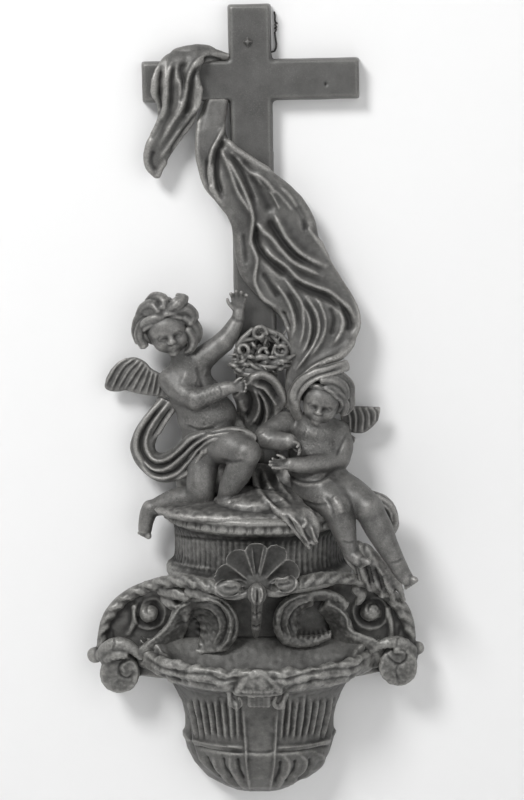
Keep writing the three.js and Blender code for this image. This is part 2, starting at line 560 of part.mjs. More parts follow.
// The leafy scroll that closes round a dark hollow, on each side of the stem
function makeNicheScroll(side) {
  const nicheX = axisX + side * (shellRadius + nicheRadius) * 0.73;
  const nicheZ = rimTop + consoleHeight * 0.4;
  const steps = 8;
  const scroll = [];
  for (let i = 0; i <= steps; i += 1) {
    const share = i / steps;
    const angle = THREE.MathUtils.degToRad(200 - share * 270);
    const swell = Math.sin(share * Math.PI);
    scroll.push([nicheX + side * nicheRadius * Math.cos(angle), nicheDepth + 4 * swell,
      nicheZ + nicheRadius * 0.66 * Math.sin(angle), nicheTube * (0.75 + 0.35 * swell)]);
  }
  const leaf = limb([[nicheX + side * 22, nicheDepth - 8, nicheZ - 12, 7],
    [nicheX + side * 12, nicheDepth, nicheZ - 4, 5], [nicheX + side * 2, nicheDepth + 3, nicheZ, 3]], 6, 1, false);
  return [limb(scroll, 6, 1, false), leaf];
}

function makeBasin() {
  const throat = rimTop - rimHeight - 6;
  const waist = rimTop - basinHeight * 0.56;
  const ledge = rimTop - basinHeight * 0.62;
  const profile = [
    [0, rimTop], [rimRadius - 3, rimTop], [rimRadius, rimTop - rimHeight * 0.3],
    [rimRadius - 1, rimTop - rimHeight * 0.7], [rimRadius - 6, rimTop - rimHeight], [throatRadius, throat],
    [THREE.MathUtils.lerp(throatRadius, waistRadius, 0.62), THREE.MathUtils.lerp(throat, waist, 0.45)],
    [waistRadius, waist], [bulbRadius, waist - 2], [bulbRadius, ledge],
    [bulbRadius * 0.95, ledge - 1], [bulbRadius * 0.97, ledge - 9], [bulbRadius * 0.84, ledge - 20],
    [bulbRadius * 0.56, basinFoot + 5], [bulbRadius * 0.24, basinFoot], [0, basinFoot]];
  const bowl = turnedBody(profile, basinFlutes * 3, (angle, z, radius) => {
    const turns = (angle * basinFlutes) / (2 * Math.PI);
    if (z > rimTop - rimHeight * 0.95 && z < rimTop - 1) {
      return radius + 1.6 * Math.cos(angle * 11) + 0.8 * Math.cos(angle * 23);
    }
    if (z <= throat && z >= waist) return radius - fluteDepth * 1.4 * wave(turns);
    if (z < ledge - 2 && z > basinFoot + 1) {
      const across = 2 * (((turns % 1) + 1) % 1) - 1;
      return radius - 3 * (1 - Math.sqrt(1 - across ** 2));
    }
    return radius;
  }, basinFlatness);
  const side = [
    [rimRadius - 8, rimTop - rimHeight], [throatRadius + 1, throat], [waistRadius + 4.5, waist + 16],
    [waistRadius + 2, waist], [bulbRadius + 1.5, ledge], [bulbRadius + 0.5, ledge - 9],
    [bulbRadius * 0.86, ledge - 20], [bulbRadius * 0.56, basinFoot + 5], [bulbRadius * 0.24, basinFoot]];
  const outline = new THREE.Shape([...side, ...side.map(([x, z]) => [-x, z]).reverse()]
    .map(([x, z]) => new THREE.Vector2(x, z)));
  const slab = plate(outline, basinBackWall).translate(axisX, 0, 0);
  const dishRadius = rimRadius - dishWall;
  const dish = turnedBody([[0, rimTop + 1], [dishRadius, rimTop + 1], [dishRadius, rimTop - dishDepth * 0.2],
    [dishRadius * 0.93, rimTop - dishDepth * 0.7], [dishRadius * 0.76, rimTop - dishDepth],
    [0, rimTop - dishDepth]], 32, undefined, basinFlatness);
  const room = block(
    axisX - rimRadius, axisX + rimRadius, -rimRadius, -backWall, rimTop - dishDepth - 1, rimTop + 2);
  const cartouche = [];
  for (let i = -1.5; i <= 1.5; i += 1) {
    const x = axisX + i * 7.5;
    const lip = (rimRadius - 2) * basinFlatness;
    cartouche.push(limb([[x, lip, rimTop - rimHeight * 0.8, 3], [x, lip - 5, rimTop - rimHeight * 1.5, 2.6],
      [x, lip - 12, rimTop - rimHeight * (1.9 + 0.2 * (2 - Math.abs(i))), 1.8]], 5, 1, false));
  }
  return { bodies: [bowl, slab, cartouche], dish: dish.intersect(room) };
}

const nailX = nailAside - nailPlace * Math.tan(lean);
const pocketDepth = wireThickness + 4 * clearance;
const loopRadius = nailShank / 2 + wireThickness / 2 + 2 * clearance;
const pocketReach = loopRadius + wireThickness / 2 + 2 * clearance;
const channelZ = nailPlace - loopRadius - 3 * wireThickness;

// The nail's hole through the post, and the pocket and channel behind for the wire round it
function makeNailRoom() {
  const bore = nailShank / 2 + clearance;
  const hole = new THREE.CylinderGeometry(bore, bore, 3 * crossThickness, 10);
  const pocket = block(nailX - pocketReach, nailX + pocketReach, -pocketDepth, 1,
    channelZ - wireThickness, nailPlace + pocketReach);
  const channel = block(nailX, postWidth, -pocketDepth, 1, channelZ - wireThickness, channelZ + wireThickness);
  return [toSolid(hole.translate(nailX, 0, nailPlace)), pocket, channel];
}

function makeNail(material) {
  const head = new THREE.ConeGeometry(nailHead / 2, nailHeadHeight, 4).rotateX(Math.PI);
  head.scale(0.8, 1, 1.1).translate(nailX, -crossThickness - clearance - nailHeadHeight / 2, nailPlace);
  const length = crossThickness + 1;
  const shank = new THREE.CylinderGeometry(nailShank / 2, nailShank / 2, length, 10);
  shank.translate(nailX, -length / 2 - 2 * clearance, nailPlace);
  return toMesh(join([toSolid(head), toSolid(shank)]), 'titulus_nail', material);
}

// The wire loops round the nail behind the post, leaves at the right and ends in a twisted knot
function makeWire(material) {
  const depth = pocketDepth / 2;
  const radius = wireThickness / 2;
  const points = [];
  for (let degrees = 20; degrees <= 270; degrees += 50) {
    const angle = THREE.MathUtils.degToRad(degrees);
    const [x, z] = [loopRadius * Math.cos(angle), loopRadius * Math.sin(angle)];
    points.push([nailX + x, depth, nailPlace + z, radius]);
  }
  const outside = postWidth / 2 + wireGap + radius;
  points.push([nailX + loopRadius * 1.4, depth, channelZ, radius], [outside - 4, depth, channelZ, radius],
    [outside - 0.4, depth, channelZ + 0.2, radius], [outside + 0.9, depth, channelZ + 3, radius],
    [outside + 0.3, depth, nailPlace + 3, radius]);
  const knotFoot = nailPlace + 6;
  for (let i = 0; i <= knotTurns * 5; i += 1) {
    const angle = (i / 5) * 2 * Math.PI;
    points.push([outside + knotRadius * (1 - Math.cos(angle)) * 0.5, depth + knotRadius * Math.sin(angle),
      knotFoot + (i / 5) * wireThickness * 1.7, radius]);
  }
  points.push([outside + 0.2, depth, knotFoot + knotTurns * wireThickness * 1.7 + 3, radius],
    [outside - 0.3, depth, headRise - 4.6, radius]);
  return toMesh(limb(points, 6, 1, false), 'hanging_wire', material);
}

function makeCasting(material) {
  const basin = makeBasin();
  const upper = join([makeCross(), makeDrum(), makeConsole(), makeShell()]);
  const lower = join(basin.bodies);
  const stand = upper.add(lower).subtract(basin.dish);
  const figures = join([makeKneelingChild(), makeSeatedChild(), makeShroud(), makeLooseCloth(), makeCrown()]);
  const wall = block(-farBehind, farBehind, 0, farBehind, basinFoot - farBehind, headRise + farBehind);
  const casting = stand.add(figures).subtract(wall).subtract(join(makeNailRoom()));
  return toMesh(casting, 'stoup_casting', material);
}

const bronze = new THREE.MeshStandardMaterial({ color: 0x3b3835, roughness: 0.55, metalness: 0.8 });
const iron = new THREE.MeshStandardMaterial({ color: 0x2e2c2a, roughness: 0.6, metalness: 0.9 });
const model = new THREE.Group();
model.add(makeCasting(bronze), makeNail(iron), makeWire(iron));

export default model;
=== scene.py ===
import math

import bmesh
import bpy
import numpy as np
from mathutils import Euler, Matrix, Vector


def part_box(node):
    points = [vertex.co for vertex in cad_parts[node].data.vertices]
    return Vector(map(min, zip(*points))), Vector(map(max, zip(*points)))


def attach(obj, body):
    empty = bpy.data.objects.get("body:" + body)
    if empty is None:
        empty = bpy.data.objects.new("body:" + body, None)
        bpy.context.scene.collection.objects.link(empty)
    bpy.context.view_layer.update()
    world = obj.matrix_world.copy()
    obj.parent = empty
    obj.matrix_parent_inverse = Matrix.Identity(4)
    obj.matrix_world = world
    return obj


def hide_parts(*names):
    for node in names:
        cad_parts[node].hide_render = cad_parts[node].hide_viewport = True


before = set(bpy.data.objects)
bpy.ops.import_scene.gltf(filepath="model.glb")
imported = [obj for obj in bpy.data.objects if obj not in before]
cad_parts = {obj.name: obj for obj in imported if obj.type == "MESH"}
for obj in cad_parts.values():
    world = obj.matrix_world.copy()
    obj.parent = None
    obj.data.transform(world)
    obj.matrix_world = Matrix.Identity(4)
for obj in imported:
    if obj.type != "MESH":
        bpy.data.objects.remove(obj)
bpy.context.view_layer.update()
millimetre = 0.001

# Where the photograph was taken from, so that a place can be named by its pixel and its depth
viewing = {
    "x": 6.49, "y": -1115.0, "z": -0.08,  # millimetres
    "pitch": 9.41,                        # degrees, looking down
    "focal": 1930.0,                      # pixels
    "middleX": 262, "middleY": 400,       # half of the 524 x 800 frame
    "sensor": 36,
}


def spot(px, py, depth):
    # a pixel and a depth in front of the wall, as a point in millimetres
    pitch = math.radians(viewing["pitch"])
    right = (px - viewing["middleX"]) / viewing["focal"]
    up = (viewing["middleY"] - py) / viewing["focal"]
    away = math.cos(pitch) + up * math.sin(pitch)
    rise = -math.sin(pitch) + up * math.cos(pitch)
    reach = (-depth - viewing["y"]) / away
    return np.array([viewing["x"] + right * reach, -depth, viewing["z"] + rise * reach])


def toPixels(points):
    pitch = math.radians(viewing["pitch"])
    x = points[:, 0] - viewing["x"]
    y = points[:, 1] - viewing["y"]
    z = points[:, 2] - viewing["z"]
    ahead = y * math.cos(pitch) - z * math.sin(pitch)
    up = y * math.sin(pitch) + z * math.cos(pitch)
    across = viewing["middleX"] + viewing["focal"] * x / ahead
    down = viewing["middleY"] - viewing["focal"] * up / ahead
    return np.stack([across, down], axis=1)


def smoothPath(points, count):
    # a smooth curve through the points, with even steps along it
    points = np.array(points, dtype=float)
    if len(points) == 2:
        share = np.linspace(0, 1, count)[:, None]
        return points[0] * (1 - share) + points[1] * share
    ghost = np.vstack([2 * points[0] - points[1], points, 2 * points[-1] - points[-2]])
    fine = []
    for i in range(len(points) - 1):
        a, b, c, d = ghost[i:i + 4]
        t = np.linspace(0, 1, 12, endpoint=False)[:, None]
        fine.append(0.5 * (2 * b + (c - a) * t + (2 * a - 5 * b + 4 * c - d) * t ** 2
                           + (3 * b - a - 3 * c + d) * t ** 3))
    fine = np.vstack(fine + [points[-1:]])
    size = min(3, fine.shape[1])
    step = np.linalg.norm(np.diff(fine[:, :size], axis=0), axis=1)
    along = np.concatenate([[0], np.cumsum(step)])
    wanted = np.linspace(0, along[-1], count)
    return np.stack([np.interp(wanted, along, fine[:, k]) for k in range(fine.shape[1])], axis=1)


def smoothStep(low, high, value):
    share = np.clip((value - low) / (high - low), 0, 1)
    return share * share * (3 - 2 * share)


def lumps(points, size, seed):
    # a seeded unevenness with knots of about the size given, between -1 and 1
    table = np.random.default_rng(seed).uniform(-1, 1, (32, 32, 32))
    turn = np.array(Euler((0.7, 0.4, 1.1)).to_matrix())
    place = points @ turn / (0.7 * size) + 500.0
    cell = np.floor(place).astype(int)
    share = place - cell
    share = share * share * (3 - 2 * share)
    total = np.zeros(len(points))
    for corner in np.ndindex(2, 2, 2):
        weight = np.prod(np.where(np.array(corner) == 1, share, 1 - share), axis=1)
        at = (cell + np.array(corner)) & 31
        total += weight * table[at[:, 0], at[:, 1], at[:, 2]]
    return np.clip(1.5 * total, -1, 1)


# Meshes as numbers and back
def readMesh(mesh):
    places = np.empty(len(mesh.vertices) * 3)
    mesh.vertices.foreach_get("co", places)
    return places.reshape(-1, 3)


def writeMesh(mesh, places):
    mesh.vertices.foreach_set("co", np.ascontiguousarray(places, dtype=np.float32).ravel())
    mesh.update()


def readNormals(mesh):
    normals = np.empty(len(mesh.vertices) * 3)
    mesh.vertex_normals.foreach_get("vector", normals)
    return normals.reshape(-1, 3)


def readEdges(mesh):
    edges = np.empty(len(mesh.edges) * 2, dtype=np.int32)
    mesh.edges.foreach_get("vertices", edges)
    return edges.reshape(-1, 2)


def relax(values, edges, rounds, share=0.5):
    # moves each value towards the mean of its neighbours
    count = len(values)
    ends = np.concatenate([edges[:, 0], edges[:, 1]])
    others = np.concatenate([edges[:, 1], edges[:, 0]])
    degree = np.maximum(np.bincount(ends, minlength=count), 1)
    values = values.copy()
    for _ in range(rounds):
        if values.ndim == 1:
            mean = np.bincount(ends, values[others], count) / degree
        else:
            mean = np.stack([np.bincount(ends, values[others, k], count) / degree
                             for k in range(values.shape[1])], axis=1)
        values += share * (mean - values)
    return values


def track(points):
    # (pixel x, pixel y, depth, radius) to (x, y, z, radius) in millimetres
    return [[*spot(point[0], point[1], point[2]), *point[3:]] for point in points]


def unevenness(places, layers):
    # layers of (size of the lumps, seed, height), in millimetres
    return sum(lumps(places, size, seed) * height for size, seed, height in layers)


def pushOut(mesh, height):
    # moves each point along its normal
    writeMesh(mesh, readMesh(mesh) + readNormals(mesh) * height[:, None])


def finishMesh(bm, name):
    mesh = bpy.data.meshes.new(name)
    bm.to_mesh(mesh)
    bm.free()
    return mesh


def modified(mesh, kind, values):
    # the mesh after one modifier with the values given
    holder = bpy.data.objects.new(mesh.name + "_holder", mesh)
    bpy.context.scene.collection.objects.link(holder)
    modifier = holder.modifiers.new("shaping", kind)
    for name, value in values.items():
        setattr(modifier, name, value)
    depsgraph = bpy.context.evaluated_depsgraph_get()
    result = bpy.data.meshes.new_from_object(holder.evaluated_get(depsgraph))
    bpy.data.objects.remove(holder)
    bpy.data.meshes.remove(mesh)
    return result


def remeshed(bm, name, voxel, rounds=0):
    # one closed skin over all the overlapping forms, relaxed
    mesh = modified(finishMesh(bm, name), "REMESH", {"mode": "VOXEL", "voxel_size": voxel})
    if rounds:
        writeMesh(mesh, relax(readMesh(mesh), readEdges(mesh), rounds))
    return mesh


def closed(mesh):
    # a grid that was bent round on itself: its rims are welded and its ends filled
    bm = bmesh.new()
    bm.from_mesh(mesh)
    bpy.data.meshes.remove(mesh)
    bmesh.ops.remove_doubles(bm, verts=bm.verts, dist=0.01)
    bmesh.ops.holes_fill(bm, edges=bm.edges, sides=0)
    bmesh.ops.recalc_face_normals(bm, faces=bm.faces)
    return bm


# Forms of flesh and ornament: each is a chain of round rods or an egg, melted into its neighbours
def rods(path, blend=2.0, steps=0, cut=False):
    # a limb through points (x, y, z, radius)
    path = smoothPath(path, steps or 3 * len(path) - 2) if len(path) > 2 else np.array(path, dtype=float)
    return [{"kind": "rod", "path": path, "blend": blend, "cut": cut}]


def egg(centre, radii, turn=(0, 0, 0), blend=2.0, cut=False, matrix=None):
    matrix = matrix if matrix is not None else np.array(Euler([math.radians(n) for n in turn]).to_matrix())
    return {"kind": "egg", "centre": np.array(centre, dtype=float), "radii": np.array(radii, dtype=float),
            "matrix": matrix, "blend": blend, "cut": cut}


def formDistance(form, points):
    if form["kind"] == "rod":
        best = np.full(len(points), 1e9)
        for a, b in zip(form["path"][:-1], form["path"][1:]):
            line = b[:3] - a[:3]
            share = np.clip((points - a[:3]) @ line / max(line @ line, 1e-9), 0, 1)
            gap = points - a[:3] - share[:, None] * line
            best = np.minimum(best, np.sqrt((gap * gap).sum(axis=1)) - (a[3] + share * (b[3] - a[3])))
        return best
    local = (points - form["centre"]) @ form["matrix"]
    inner = np.linalg.norm(local / form["radii"], axis=1)
    outer = np.maximum(np.linalg.norm(local / form["radii"] ** 2, axis=1), 1e-6)
    return inner * (inner - 1) / outer


def formBox(form):
    margin = 3 + form["blend"]
    if form["kind"] == "rod":
        size = form["path"][:, 3].max() + margin
        return form["path"][:, :3].min(axis=0) - size, form["path"][:, :3].max(axis=0) + size
    size = form["radii"].max() + margin
    return form["centre"] - size, form["centre"] + size


def fieldAt(forms, points):
    # the distance to the melted forms, outside positive
    total = np.full(len(points), 30.0)
    for form in forms:
        low, high = formBox(form)
        near = np.flatnonzero(((points > low) & (points < high)).all(axis=1))
        if len(near) == 0:
            continue
        own = formDistance(form, points[near])
        blend = form["blend"]
        if form["cut"]:
            mixed = np.maximum(blend - np.abs(total[near] + own), 0) / blend
            total[near] = np.maximum(total[near], -own) + mixed ** 2 * blend / 4
        else:
            mixed = np.maximum(blend - np.abs(total[near] - own), 0) / blend
            total[near] = np.minimum(total[near], own) - mixed ** 2 * blend / 4
    return total


def joinInto(bm, other):
    mesh = bpy.data.meshes.new("joining")
    other.to_mesh(mesh)
    other.free()
    bm.from_mesh(mesh)
    bpy.data.meshes.remove(mesh)


def addForm(bm, form):
    if form["kind"] == "egg":
        matrix = Matrix(form["matrix"].tolist()).to_4x4()
        matrix = Matrix.Translation(form["centre"]) @ matrix @ Matrix.Diagonal((*form["radii"], 1))
        bmesh.ops.create_icosphere(bm, subdivisions=3, radius=1, matrix=matrix)
        return
    path = form["path"]
    for point in path:
        bmesh.ops.create_icosphere(bm, subdivisions=2, radius=point[3], matrix=Matrix.Translation(point[:3]))
    for a, b in zip(path[:-1], path[1:]):
        way = Vector(b[:3] - a[:3])
        matrix = Matrix.Translation((a[:3] + b[:3]) / 2) @ way.to_track_quat("Z", "Y").to_matrix().to_4x4()
        bmesh.ops.create_cone(bm, cap_ends=True, segments=14, radius1=a[3], radius2=b[3],
                              depth=max(way.length, 0.01), matrix=matrix)


def addForms(bm, forms):
    batch = 20
    solid = [form for form in forms if not form["cut"]]
    for start in range(0, len(solid), batch):
        small = bmesh.new()
        for form in solid[start:start + batch]:
            addForm(small, form)
        joinInto(bm, small)


def melted(name, forms, voxel, rounds=3):
    bm = bmesh.new()
    addForms(bm, forms)
    mesh = remeshed(bm, name, voxel, 2)
    edges = readEdges(mesh)
    for turn in range(rounds):
        places = readMesh(mesh)
        away = np.clip(fieldAt(forms, places), -2, 2)
        places -= readNormals(mesh) * away[:, None] * 0.9
        places = relax(places, edges, 1 if turn < rounds - 1 else 2)
        writeMesh(mesh, places)
    return mesh


# A strip of cloth, leaf or feather between two edges: a flattened closed tube with round rims
def strip(edgeA, edgeB, thick, grain, rim=0.35):
    # the edges are lists of (pixel x, pixel y, depth)
    edgeA, edgeB = (np.array([spot(*point) for point in edge]) for edge in (edgeA, edgeB))
    lengths = [np.linalg.norm(np.diff(edge, axis=0), axis=1).sum() for edge in (edgeA, edgeB)]
    rows = max(6, int(max(lengths) / grain))
    pathA = smoothPath(edgeA, rows + 1)
    pathB = smoothPath(edgeB, rows + 1)
    width = np.linalg.norm(pathA - pathB, axis=1).max()
    columns = 2 * max(6, int(width / grain) + 2)
    bm = bmesh.new()
    bmesh.ops.create_grid(bm, x_segments=columns, y_segments=rows, size=1)
    mesh = finishMesh(bm, "strip")
    places = readMesh(mesh)
    turn = (places[:, 0] + 1) * math.pi
    across = (1 - np.cos(turn)) / 2
    across = across + (smoothStep(0, 1, across) * -1 + across) * 0.5
    side = np.where(turn <= math.pi, 1.0, -1.0)
    along = np.clip((places[:, 1] + 1) / 2, 0, 1)
    row = np.clip(np.rint(along * rows).astype(int), 0, rows)
    start, end = pathA[row], pathB[row]
    middle = start * (1 - across[:, None]) + end * across[:, None]
    way = np.gradient(pathA + pathB, axis=0)[row]
    normal = np.cross(end - start, way)
    normal /= np.maximum(np.linalg.norm(normal, axis=1), 1e-9)[:, None]
    normal *= np.where((normal[:, 1] > 0).mean() > 0.5, -1.0, 1.0)
    gap = np.linalg.norm(end - start, axis=1)
    reach = np.minimum(across, 1 - across) * gap
    swell = np.sqrt(np.clip(1 - (1 - np.clip(reach / (thick * (0.3 + rim)), 0, 1)) ** 2, 0, 1))
    writeMesh(mesh, middle + normal * (side * swell * thick / 2)[:, None])
    return closed(mesh)


# Strokes: ridges and furrows drawn along pixel lines and pressed into what faces the viewer
def lineDistance(pixels, line):
    # the distance to a line, which side of it, and how far along it, all in pixels
    path = smoothPath(line, max(12, 5 * len(line)))
    best = np.full(len(pixels), 1e9)
    side = np.ones(len(pixels))
    along = np.zeros(len(pixels))
    steps = len(path) - 1
    for i in range(steps):
        a, b = path[i], path[i + 1]
        way = b - a
        share = np.clip((pixels - a) @ way / max(way @ way, 1e-9), 0, 1)
        gap = pixels - a - share[:, None] * way
        distance = np.hypot(gap[:, 0], gap[:, 1])
        closer = distance < best
        best = np.where(closer, distance, best)
        side = np.where(closer, np.sign(way[0] * gap[:, 1] - way[1] * gap[:, 0]), side)
        along = np.where(closer, (i + share) / steps, along)
    return best, side, along


strokeShape = {"widen": 1.15, "fall": 1.2, "fade": 0.14, "endHeight": 0.25, "overlap": 0.35}


def strokeHeight(pixels, strokes):
    # each stroke is (height in mm, width to its left, width to its right, pixels from top to bottom)
    raised = np.zeros(len(pixels))
    sunk = np.zeros(len(pixels))
    fade, low, overlap = strokeShape["fade"], strokeShape["endHeight"], strokeShape["overlap"]
    for height, left, right, line in strokes:
        spread = 3 * max(left, right)
        lowest = np.min(line, axis=0) - spread
        highest = np.max(line, axis=0) + spread
        near = np.flatnonzero(((pixels > lowest) & (pixels < highest)).all(axis=1))
        if len(near) == 0:
            continue
        distance, side, along = lineDistance(pixels[near], line)
        width = np.where(side > 0, left, right) * strokeShape["widen"]
        ends = smoothStep(0, fade, along) * smoothStep(0, fade, 1 - along)
        shape = abs(height) * np.exp(-(distance / width) ** 2 * strokeShape["fall"])
        shape = shape * (low + (1 - low) * ends)
        total = raised if height > 0 else sunk
        total[near] = np.maximum(total[near], shape) + overlap * np.minimum(total[near], shape)
    return raised - sunk


def pressStrokes(mesh, strokes, rounds=1, facing=0.15):
    height = strokeHeight(toPixels(readMesh(mesh)), strokes)
    height *= smoothStep(facing - 0.15, facing + 0.25, -readNormals(mesh)[:, 1])
    pushOut(mesh, relax(height, readEdges(mesh), rounds))


def countTriangles(mesh):
    return sum(len(face.vertices) - 2 for face in mesh.polygons)


def thinned(mesh, limit):
    # keeps a piece under its number of triangles
    triangles = countTriangles(mesh)
    return modified(mesh, "DECIMATE", {"ratio": limit / triangles}) if triangles > limit else mesh


# how the rises and dips are measured, and how strongly they paint: brighter as rubbed wear with painted
# highlight, darker as dirt with painted shade
wearAndLightMarks = {"fineRounds": 3, "broadRounds": 45, "broadShare": 0.6, "wornAndHighlight": (0.13, 0.26), "hollow": (0.3, 0.6)}


def markWearAndPaintedLight(mesh, fineScale, broadScale, toneShift):
    # how far each point stands out of or lies in the surface round it, kept as the masks that paint rubbed
    # wear with a painted highlight and dirt with painted shade
    places = readMesh(mesh)
    normals = readNormals(mesh)
    edges = readEdges(mesh)
    smooth = relax(places, edges, wearAndLightMarks["fineRounds"])
    fine = ((places - smooth) * normals).sum(axis=1) / fineScale
    smooth = relax(places, edges, wearAndLightMarks["broadRounds"], wearAndLightMarks["broadShare"])
    broad = ((places - smooth) * normals).sum(axis=1) / broadScale
    fine = relax(fine, edges, 1)
    addedTone = toneShift(places) if toneShift else 0
    fineShare, broadShare = wearAndLightMarks["wornAndHighlight"]
    # brighter where it stands out: rubbed wear and a painted highlight on the ridges
    wornAndHighlight = fineShare * np.clip(fine, -1, 1.5) + broadShare * np.clip(broad - 0.3, -1, 1.2) + addedTone
    # darker where it lies in: dirt in the recesses and painted shade
    fineShare, broadShare = wearAndLightMarks["hollow"]
    hollow = -fineShare * np.clip(fine, -1, 1) - broadShare * np.clip(broad + 0.15, -1.5, 1)
    for name, values in (("wornAndHighlight", wornAndHighlight), ("hollow", hollow)):
        attribute = mesh.attributes.new(name, "FLOAT", "POINT")
        attribute.data.foreach_set("value", np.clip(values, 0, 1).astype(np.float32))


def addPiece(name, mesh, material, limit, node="stoup_casting", curvatureScales=(0.05, 0.5),
             toneShift=None):
    # limit is the most triangles; the pair after it gives how far, in millimetres, the fine and the broad
    # rises and dips reach before they count fully, as rubbed wear with painted highlight and as dirt with
    # painted shade
    mesh = thinned(mesh, limit)
    mesh.name = name
    places = readMesh(mesh)
    places[:, 1] = np.minimum(places[:, 1], 0)  # nothing goes into the wall
    writeMesh(mesh, places)
    markWearAndPaintedLight(mesh, *curvatureScales, toneShift)
    mesh.transform(Matrix.Scale(millimetre, 4))
    mesh.shade_smooth()
    mesh.materials.clear()
    mesh.materials.append(material)
    piece = bpy.data.objects.new(name, mesh)
    bpy.context.scene.collection.objects.link(piece)
    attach(piece, "root")
    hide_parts(node)
    print("made", name, "with", countTriangles(mesh), "triangles")


# The bronze: dark, nearly grey, brighter where it stands out, with rubbed wear and painted highlight, and
# darker in the hollows, with dirt and painted shade
def makeMetalGroup():
    group = bpy.data.node_groups.new("agedMetalAndPaintedLight", "ShaderNodeTree")
    sockets = group.interface
    for name, value in (("Dark", (0.03, 0.029, 0.027, 1)), ("Middle", (0.07, 0.068, 0.064, 1)),
                        ("RubbedAndHighlight", (0.3, 0.29, 0.27, 1))):
        sockets.new_socket(name, in_out="INPUT", socket_type="NodeSocketColor").default_value = value
    for name, value in (("Patch Scale", 70.0), ("Grain Scale", 900.0), ("Speckle", 0.2), ("WearAndHighlight", 1.0)):
        sockets.new_socket(name, in_out="INPUT", socket_type="NodeSocketFloat").default_value = value
    sockets.new_socket("Color", in_out="OUTPUT", socket_type="NodeSocketColor")
    sockets.new_socket("Roughness", in_out="OUTPUT", socket_type="NodeSocketFloat")
    sockets.new_socket("Height", in_out="OUTPUT", socket_type="NodeSocketFloat")
    nodes, links = group.nodes, group.links
    entry = nodes.new("NodeGroupInput")
    result = nodes.new("NodeGroupOutput")
    place = nodes.new("ShaderNodeTexCoord")

    def noise(scaleSocket, detail, roughness):
        node = nodes.new("ShaderNodeTexNoise")
        node.inputs["Detail"].default_value = detail
        node.inputs["Roughness"].default_value = roughness
        links.new(place.outputs["Object"], node.inputs["Vector"])
        links.new(scaleSocket, node.inputs["Scale"])
        return node.outputs["Fac"]

    def sums(operation, first, second, clamp=False):
        node = nodes.new("ShaderNodeMath")
        node.operation = operation
        node.use_clamp = clamp
        for socket, value in zip(node.inputs, (first, second)):
            if isinstance(value, (int, float)):
                socket.default_value = value
            else:
                links.new(value, socket)
        return node.outputs[0]

    def spread(value, low, high, toLow=0.0, toHigh=1.0):
        node = nodes.new("ShaderNodeMapRange")
        links.new(value, node.inputs["Value"])
        for name, number in (("From Min", low), ("From Max", high), ("To Min", toLow), ("To Max", toHigh)):
            node.inputs[name].default_value = number
        return node.outputs["Result"]

    def mixed(share, first, second):
        node = nodes.new("ShaderNodeMix")
        node.data_type = "RGBA"
        links.new(share, node.inputs["Factor"])
        links.new(first, node.inputs["A"])
        links.new(second, node.inputs["B"])
        return node.outputs["Result"]

    def pointValue(name):
        node = nodes.new("ShaderNodeAttribute")
        node.attribute_name = name
        return node.outputs["Fac"]

    patch = noise(entry.outputs["Patch Scale"], 5, 0.6)
    grain = noise(entry.outputs["Grain Scale"], 4, 0.65)
    fineScale = sums("MULTIPLY", entry.outputs["Grain Scale"], 2.6)
    speck = noise(fineScale, 2, 0.5)
    tone = spread(sums("ADD", sums("MULTIPLY", patch, 0.65), sums("MULTIPLY", grain, 0.35)), 0.36, 0.64)
    colour = mixed(tone, entry.outputs["Dark"], entry.outputs["Middle"])
    # the share of the bright colour: rubbed wear and painted highlight
    rubbingAndHighlight = sums("MULTIPLY", pointValue("wornAndHighlight"), entry.outputs["WearAndHighlight"])
    rubbingAndHighlight = sums("MULTIPLY", rubbingAndHighlight, spread(grain, 0.3, 0.62, 0.45, 1.15), clamp=True)
    specks = sums("MULTIPLY", spread(speck, 0.6, 0.72), entry.outputs["Speckle"])
    colour = mixed(sums("ADD", rubbingAndHighlight, specks, clamp=True), colour, entry.outputs["RubbedAndHighlight"])
    # the hollows darkened towards near black: dirt and painted shade
    dirtAndShade = nodes.new("ShaderNodeMix")
    dirtAndShade.data_type = "RGBA"
    dirtAndShade.inputs["B"].default_value = (0.012, 0.0115, 0.011, 1)
    links.new(sums("MULTIPLY", pointValue("hollow"), 0.85, clamp=True), dirtAndShade.inputs["Factor"])
    links.new(colour, dirtAndShade.inputs["A"])
    rough = spread(grain, 0.35, 0.65, 0.42, 0.56)
    rough = sums("SUBTRACT", rough, sums("MULTIPLY", rubbingAndHighlight, 0.1))
    rough = sums("ADD", rough, sums("MULTIPLY", pointValue("hollow"), 0.25), clamp=True)
    height = sums("ADD", grain, sums("MULTIPLY", speck, 0.35))
    links.new(dirtAndShade.outputs["Result"], result.inputs["Color"])
    links.new(rough, result.inputs["Roughness"])
    links.new(height, result.inputs["Height"])
    return group


def makeBronze(name, group, values, metallic=0.35, bump=0.25, bumpDistance=0.0002):
    material = bpy.data.materials.new(name)
    material.use_nodes = True
    nodes, links = material.node_tree.nodes, material.node_tree.links
    shader = nodes["Principled BSDF"]
    shader.inputs["Metallic"].default_value = metallic
    agedAndLitNode = nodes.new("ShaderNodeGroup")
    agedAndLitNode.node_tree = group
    for key, value in values.items():
        agedAndLitNode.inputs[key].default_value = value
    relief = nodes.new("ShaderNodeBump")
    relief.inputs["Strength"].default_value = bump
    relief.inputs["Distance"].default_value = bumpDistance
    links.new(agedAndLitNode.outputs["Color"], shader.inputs["Base Color"])
    links.new(agedAndLitNode.outputs["Roughness"], shader.inputs["Roughness"])
    links.new(agedAndLitNode.outputs["Height"], relief.inputs["Height"])
    links.new(relief.outputs["Normal"], shader.inputs["Normal"])
    return material


metalGroup = makeMetalGroup()
